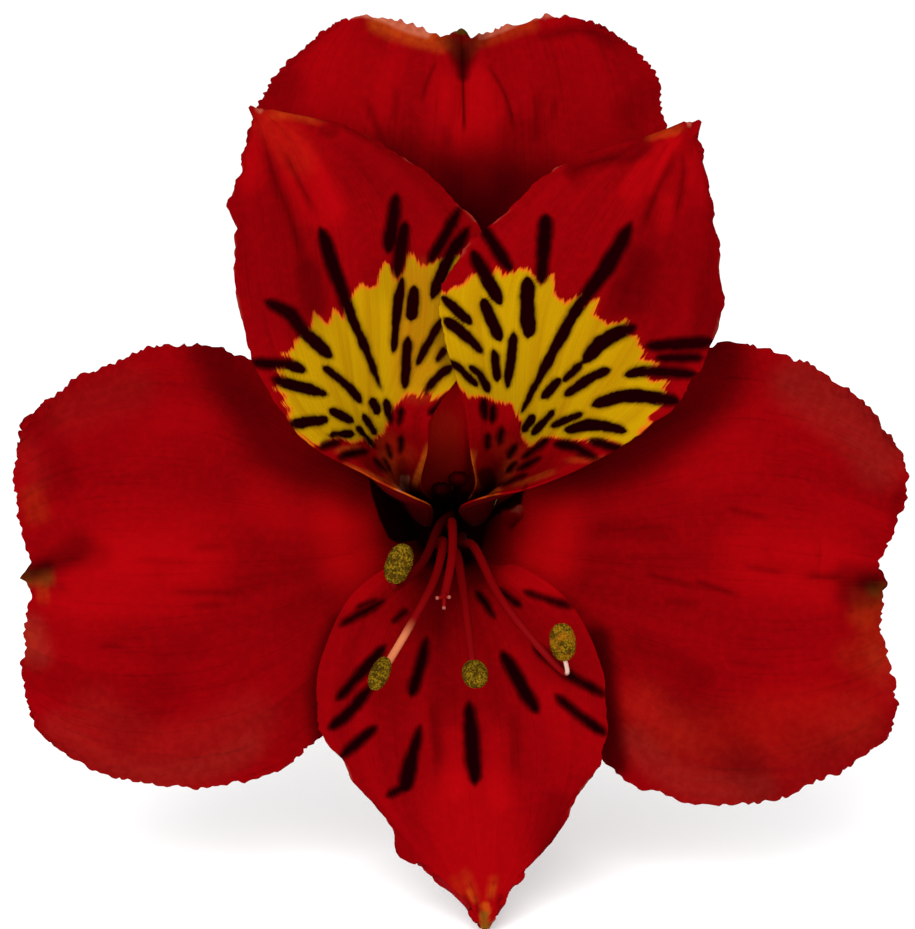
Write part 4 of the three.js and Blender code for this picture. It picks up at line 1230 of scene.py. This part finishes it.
# the two filaments deep in the throat are painted near-black as shade
throat_stalk = stalk_material("filament darkened as throat shade", "#1c0101", "#240101", 0.3, 0.8, 0.6, 0.0)
# the peach end of filament 2 is a painted highlight
highlit_stalk = stalk_material("filament with a painted highlight at its end", RED_STALK, "#a05a3a", 0.69, 0.745, 0.5, 0.02)
white_stalk = stalk_material("filament with a whitish tip", RED_STALK, "#a48678", 0.84, 0.88, 0.5, 0.02)
style_skin = stalk_material("red style", RED_STALK, "#84463c", 0.98, 0.995, 0.5, 0.02)
pollen = pollen_material("anther with olive pollen", "#6c540a", "#301f05")
rusty_pollen = pollen_material("anther with rusty pollen", "#75590a", "#301f05", "#7e4a08")
# the closed anthers are dark, partly their own colour and partly painted shade of the throat; the deeper
# one gets the darker copy as painted shade
closed_skin = pollen_material("closed anther", "#440103", "#380102")
shaded_skin = pollen_material("closed anther, darker as painted shade", "#220102", "#180101")
print("stamen materials such as", plain_stalk.name, "and", pollen.name)

# %% Building the stamens
FILAMENT_RADIUS = 0.45
STALK_SKINS = {1: shaded_stalk, 2: highlit_stalk, 4: white_stalk, 5: throat_stalk, 6: throat_stalk}
ANTHER_SKINS = {4: rusty_pollen, 5: closed_skin, 6: shaded_skin}
SLIM_TIPS = {4: 0.6}  # of the radius is left at the tip
# An open anther is plump, and is slimmer once it has shed its pollen.
OPEN = dict(radius=1.08, length=4.0)
SHED = dict(radius=0.8, length=3.7)
SHORT = dict(radius=1.06, length=3.1)
CLOSED = dict(radius=0.9, length=4.4)
# Each stamen is its filament's line, the foot and head of its anther, and the anther's state.
STAMENS = [
    (
        [[0, -1.3, -35.6], [0, -1, -24], [-1.1, -1.9, -14], [-2.6, -5.2, -6], [-5, -7.4, 0.4]],
        [[-5.5, -7.1, 1.2], [-4.1, -3.3, 2.4]],
        OPEN,
    ),
    (
        [[-1.2, -3.2, -35.6], [-1.3, -3.8, -24], [-0.7, -3.5, -13], [-1.7, -7.3, -4.8], [-5.5, -14, 0.7]],
        [[-6, -14.1, 1.2], [-7.2, -16.9, 3.2]],
        SHED,
    ),
    (
        [[0, -3.85, -35.6], [0, -4.4, -24], [0.7, -4.7, -13], [1.4, -9, -4.8], [2, -13.4, 0.2]],
        [[2.1, -14.4, 0.9], [2.6, -16.7, 3.3]],
        SHORT,
    ),
    (
        [[1.2, -3.2, -35.6], [1.3, -3.8, -24], [2.4, -4, -13], [5.2, -9.2, -4], [10.6, -15.4, 0.2]],
        [[10.8, -14.2, 1.2], [10.4, -10.9, 3.3]],
        OPEN,
    ),
    (
        [[0.6, 0, -35.6], [0.6, 0.8, -31.5], [0.75, 2, -28], [0.8, 2.5, -25.8]],
        [[0.8, 2.55, -25.2], [0.8, 2.8, -21.4]],
        CLOSED,
    ),
    (
        [[-0.6, 0, -35.6], [-0.6, 0.7, -30], [-0.7, 1.4, -25], [-0.8, 1.6, -21.8]],
        [[-0.8, 1.6, -21], [-0.9, 1.7, -17.2]],
        CLOSED,
    ),
]


def anther_radius(stage, seed):
    """An oblong with a groove along each side and a surface of small grains."""
    waves = np.random.default_rng(seed).uniform(0, 2 * np.pi, (6, 2))

    def radius(t, angle):
        plump = stage["radius"] * (0.16 + 0.84 * np.sin(np.pi * np.clip(t, 0, 1)) ** 0.6)
        grooves = 1 - 0.14 * np.cos(2 * angle) - 0.1 * np.exp(-((np.sin(angle) / 0.22) ** 2))
        grain = sum(
            np.sin((9 + 3 * k) * angle.round(6) + a) * np.sin((40 + 17 * k) * t + b)
            for k, (a, b) in enumerate(waves)
        )
        return plump * grooves * (1 + 0.02 * grain)

    return radius


def filament_radius(t, tip):
    """A filament thins along its length, down to a share of its radius at the tip."""
    slimmed = 1 - (1 - tip) * smooth(0.7, 0.88, t)
    return FILAMENT_RADIUS * (1.1 - 0.35 * t) * slimmed * smooth(1.04, 0.94, t)


for number, (path, (foot, head), stage) in enumerate(STAMENS, start=1):
    foot, head = np.array(foot), np.array(head)
    middle, half = (foot + head) / 2, unit(head - foot) * stage["length"] / 2
    path = [*path, middle - 0.85 * half]  # the filament's tip reaches into the anther's foot
    slim = SLIM_TIPS.get(number, 1.0)
    filament = stalk_piece(
        f"stamen_stalk_{number}",
        path,
        lambda t, angle: filament_radius(t, slim),
        rows=60,
        sides=12,
        to_part=bloom_to_part,
    )
    finish_piece(filament, f"filament_{number}", "filament", STALK_SKINS.get(number, plain_stalk))
    anther = stalk_piece(
        f"pollen_head_{number}",
        [middle - half, middle + half],
        anther_radius(stage, number),
        rows=48,
        sides=40,
        to_part=bloom_to_part,
    )
    finish_piece(anther, f"anther_{number}", "anther", ANTHER_SKINS.get(number, pollen))
print(len(STAMENS), "stamens")

# %% [markdown]
# ## Style
# The style rises among the stamens and ends in three tiny branches with pale tips.

# %% Style
STYLE_PATH = np.array(
    [[0, -2.5, -35.6], [0, -1.9, -24], [0.2, -1.6, -13], [0.2, -4.6, -5], [-0.5, -8.2, -0.4]]
)
STYLE_RADIUS = 0.42
STIGMA_BRANCH = 1.3  # the length of a branch, in mm
BRANCHES = 3
COLUMN_END = 0.9  # the column takes this share of the style's colours, and the branches the rest


def respread(piece, start, end):
    """Spreads the numbers along a stalk between start and end instead of 0 and 1."""
    numbers = np.empty(len(piece.data.vertices), np.float32)
    layer = piece.data.attributes["along"].data
    layer.foreach_get("value", numbers)
    layer.foreach_set("value", start + (end - start) * numbers)


style = stalk_piece(
    "style_column",
    STYLE_PATH,
    lambda t, angle: STYLE_RADIUS + 0 * t,
    rows=60,
    sides=12,
    to_part=bloom_to_part,
)
respread(style, 0.0, COLUMN_END)
tip = STYLE_PATH[-1]
forward = unit(tip - along(STYLE_PATH, np.array([0.93]))[0])
branches = []
for k in range(BRANCHES):
    angle = 2 * math.pi * k / BRANCHES + 0.6
    outward = np.array([math.cos(angle), math.sin(angle), 0])
    bends = [
        tip + forward * STIGMA_BRANCH * (0.8 * t - 0.12) + outward * STIGMA_BRANCH * 0.55 * t**2
        for t in (0, 0.55, 1)
    ]
    branch = stalk_piece(
        f"branch_{k}",
        bends,
        lambda t, angle: STYLE_RADIUS * (0.6 - 0.2 * t),
        rows=12,
        sides=10,
        to_part=bloom_to_part,
    )
    respread(branch, COLUMN_END, 1.0)
    branches.append(branch)
bpy.ops.object.select_all(action="DESELECT")
for piece in (*branches, style):
    piece.select_set(True)
bpy.context.view_layer.objects.active = style
bpy.ops.object.join()
finish_piece(style, "style", "style", style_skin)
print("style:", len(style.data.polygons), "faces")

# %% [markdown]
# ## Ovary, stem and leaves
# The ovary below the petals is green with six ribs, and painted near-black red on top as the
# shade inside the throat. The pedicel carries it, and the cut stem lies along the surface. A leaf
# of this plant is turned over at its narrow base, so that its upper face is the one that grew
# underneath. Its veins run side by side from end to end. Green tissue has a thin waxy skin, so it
# shines more than the petals.

# %% Green tissue
def green_material(name, low, high, rough, gloss, ribs, end=None):
    """Ribbed or veined green; end is a colour with where along the piece it starts and is full."""
    material, tree = new_material(name)
    uv = add(tree, "TexCoord", output="UV")
    place = add(tree, "TexCoord", output="Object")
    stripes = add(tree, "Mapping", {"Vector": uv, "Scale": (ribs, 1.0, 1)})
    ridges = add(tree, "TexNoise", {"Vector": stripes, "Scale": 1.0, "Detail": 2.0})
    cloud = add(tree, "TexNoise", {"Vector": place, "Scale": 120.0, "Detail": 3.0})
    share = add(tree, "MapRange", {"Value": ridges, "From Min": 0.3, "From Max": 0.7})
    face = add(tree, "Mix", {"Factor": share, 6: colour(low), 7: colour(high)}, **BLEND)
    share = add(tree, "Math", {0: cloud, 1: 0.4}, operation="MULTIPLY")
    face = add(tree, "Mix", {"Factor": share, 6: face, 7: colour(low)}, **BLEND)
    if end:
        end_colour, start, full = end
        reached = add(tree, "Attribute", attribute_name="along", output="Fac")
        share = add(tree, "MapRange", {"Value": reached, "From Min": start, "From Max": full})
        face = add(tree, "Mix", {"Factor": share, 6: face, 7: colour(end_colour)}, **BLEND)
    bump = add(tree, "Bump", {"Height": ridges, "Strength": 0.4, "Distance": 0.0003})
    surface_of(tree, face, bump, Roughness=rough, Specular_IOR_Level=gloss)
    return material


STEM_GREENS = ("#3a5a1a", "#5f8a2c")
PALE_CUT = ("#8fa663", 0.997, 0.999)  # nothing but the cut end itself
pedicel_skin = green_material("green flower stalk", *STEM_GREENS, 0.5, 0.25, 24.0)
stem_skin = green_material("green stem with a pale cut", *STEM_GREENS, 0.5, 0.25, 24.0, PALE_CUT)
leaf_face = green_material("leaf face", "#274c12", "#416c1e", 0.45, 0.28, 26.0)
leaf_back = green_material("leaf back", "#486c2c", "#678a42", 0.55, 0.2, 26.0)
print("green materials:", pedicel_skin.name, "and", leaf_face.name)

# %% Ovary
OVARY_RADIUS = 4.5
RIBS = 6
OVARY_TOP_SHADE = ("#120001", 0.14, 0.02)  # painted shade, full at the very top and gone a little below it
OVARY_PATH = [[0, -2.45, -35.7], [0, -2.8, -40.5], [0, -3.5, -46.2]]
OVARY_PROFILE = np.array([[0.92], [1], [0.97], [0.84], [0.62], [0.38], [0.27]])


def ovary_radius(t, angle):
    return OVARY_RADIUS * along(OVARY_PROFILE, t)[:, 0] * (1 + 0.09 * np.cos(RIBS * angle))


ovary_skin = green_material("ribbed green ovary", "#2c4a12", "#4f7024", 0.6, 0.0, 10.0, OVARY_TOP_SHADE)
ovary = stalk_piece("green_ovary", OVARY_PATH, ovary_radius, rows=40, sides=72, to_part=bloom_to_part)
finish_piece(ovary, "ovary", "ovary", ovary_skin)
print("ovary:", len(ovary.data.polygons), "faces")

# %% Pedicel and stem
PEDICEL_RADIUS = 1.15
STEM_RADIUS = 2.0
PEDICEL_PATH = [[0, 43.1, 26.3], [-0.1, 59, 22.1], [-0.6, 75, 16.5], [-1, 92.2, 10.8]]
STEM_PATH = [
    [-1, 91.4, 10.9], [-0.6, 119, 6.6], [1.2, 147, 3.5], [2.4, 171, 2.1], [2.5, 191, 1.84],
    [2.1, 211, 1.84], [1.4, 230, 1.84],
]


def on_surface(points):
    """The plant's points in the part's frame, none of them below the surface."""
    placed = plant_to_part(points)
    placed[:, 2] = np.maximum(placed[:, 2], 0)
    return placed


def pedicel_radius(t, angle):
    """A pedicel is a little slimmer in its middle."""
    return PEDICEL_RADIUS * (1 - 0.12 * np.sin(np.pi * t))


def stem_radius(t, angle):
    """A stem thickens downwards, and has a rounded shoulder where the flower stalk leaves it."""
    return STEM_RADIUS * (0.8 + 0.2 * smooth(0, 0.5, t)) * (0.72 + 0.28 * smooth(0, 0.025, t))


pedicel = stalk_piece("flower_stalk", PEDICEL_PATH, pedicel_radius, rows=60, sides=20, to_part=on_surface)
finish_piece(pedicel, "pedicel", "stem", pedicel_skin)
stem = stalk_piece("cut_stem", STEM_PATH, stem_radius, rows=120, sides=28, to_part=on_surface)
finish_piece(stem, "stem", "stem", stem_skin)
print("stem and pedicel:", len(stem.data.polygons) + len(pedicel.data.polygons), "faces")

# %% Leaves
LEAF_THICKNESS = 0.6
LEAF_EDGE = 0.5  # of that thickness is left at the margin
LEAF_GRID = (80, 24)
# Each is the name of its piece, its width, and its line from the stem to its tip.
LEAVES = {
    "bract_1": ("small_leaf_1", 8, [[-2.3, 93.6, 10.9], [-10, 103, 12], [-19, 113, 6], [-26, 122, 0.3]]),
    "bract_2": ("small_leaf_2", 8, [[0.4, 94.6, 10.9], [9, 103, 12.5], [19, 112, 7], [26, 120, 0.3]]),
    "bract_3": ("small_leaf_3", 7, [[-1, 95.6, 11.8], [0, 105, 19], [4, 116, 22], [7, 127, 20.5]]),
    "leaf_1": (
        "long_leaf_1",
        13,
        [[-2.2, 118.6, 7.1], [-13, 129, 10], [-23, 145, 5.5], [-29, 160, 0.4], [-33, 175, -3]],
    ),
    "leaf_2": (
        "long_leaf_2",
        14,
        [[2.5, 140.6, 4.9], [13, 151, 9], [24, 167, 5], [31, 182, 0.4], [36, 198, -3]],
    ),
    "leaf_3": ("long_leaf_3", 13, [[0.5, 158.4, 3.9], [-7, 169, 13], [-14, 187, 15], [-20, 209, 8]]),
    "leaf_4": ("long_leaf_4", 12, [[4.0, 176.6, 2.9], [10, 189, 9], [14, 205, 8], [20, 224, 0.3]]),
}


def leaf_points(path, width, u, v):
    """A leaf's middle surface in mm of the plant, twisted at its base and flat where it lies down."""
    centre = along(path, u)
    forward = unit(along(path, np.minimum(u + 0.02, 1)) - along(path, np.maximum(u - 0.02, 0)))
    right = unit(np.cross(forward, [0.0, 0.0, 1.0]))
    normal = np.cross(right, forward)
    twist = (np.pi * (1 - smooth(0.02, 0.24, u)))[:, None]
    across = right * np.cos(twist) + normal * np.sin(twist)
    lift = normal * np.cos(twist) - right * np.sin(twist)
    open_share = np.maximum(u - 0.1, 0) / 0.9
    blade = 0.96 * np.abs(np.sin(np.pi * open_share**0.8)) ** 1.1
    half = width / 2 * (0.16 * (1 - smooth(0.12, 0.4, u)) + blade + 0.04)
    free = smooth(LEAF_THICKNESS / 2, 3, centre[:, 2])
    fold = 0.22 * half * np.abs(v)
    wave = 0.05 * width * v * v * np.sin(9 * u + np.where(v > 0, 1.2, 0))
    points = centre + across * (half * v)[:, None] + lift * (free * (fold + wave))[:, None]
    points[:, 2] = np.maximum(points[:, 2], LEAF_THICKNESS / 2)
    return points


for node, (name, width, path) in LEAVES.items():
    leaf, v = grid_piece(name, *LEAF_GRID, lambda u, v: plant_to_part(leaf_points(path, width, u, v)))
    thicken(leaf, v, LEAF_THICKNESS, LEAF_EDGE, leaf_face, leaf_back)
    finish_piece(leaf, node, "leaf")
print(len(LEAVES), "leaves")

# %% [markdown]
# ## Studio
# The surface is plain and pale. An even white surround gives soft light from every side, and one
# large lamp before and above the bloom models the petals a little, and keeps its shadow behind it.

# %% Surface and light
FLOOR_SIZE = 6.0  # in metres, as are the lamp's place and size
FLAT = (0, 0, 0)  # no bump
SURROUND = 1.05
LAMP_PLACE = (-0.08, -0.63, 0.283)
LAMP_TURN = (math.radians(65), 0, math.radians(-8.7))
LAMP_SIZE = 0.45
LAMP_POWER = 4.8

bpy.ops.object.select_all(action="DESELECT")
bpy.ops.mesh.primitive_plane_add(size=FLOOR_SIZE)
floor = bpy.context.object
floor.name = "pale_surface"
floor_material, floor_tree = new_material("pale matte surface")
surface_of(floor_tree, colour("#fafafa"), FLAT, Roughness=0.9, Specular_IOR_Level=0.1)
floor.data.materials.append(floor_material)
floor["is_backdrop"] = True

world = bpy.data.worlds.new("white surround")
world.use_nodes = True
background = world.node_tree.nodes["Background"]
background.inputs["Color"].default_value = colour("#ffffff")
background.inputs["Strength"].default_value = SURROUND
bpy.context.scene.world = world

bpy.ops.object.light_add(type="AREA", location=LAMP_PLACE, rotation=LAMP_TURN)
lamp = bpy.context.object
lamp.name = "soft lamp"
lamp.data.shape = "DISK"
lamp.data.size = LAMP_SIZE
lamp.data.energy = LAMP_POWER
bpy.context.scene.view_settings.view_transform = "Standard"
print("lamp", LAMP_POWER, "W, surround", SURROUND)

# %% [markdown]
# ## Size
# How far the finished flower's box lies from the CAD part's box is printed. The
# finished flower must fill the same box as the CAD part.

# %% Size and end
look_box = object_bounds()
for corner in (0, 1):
    past = [round((a - b) / MM, 2) for a, b in zip(look_box[corner], cad_box[corner])]
    print(past, "mm from the CAD box")
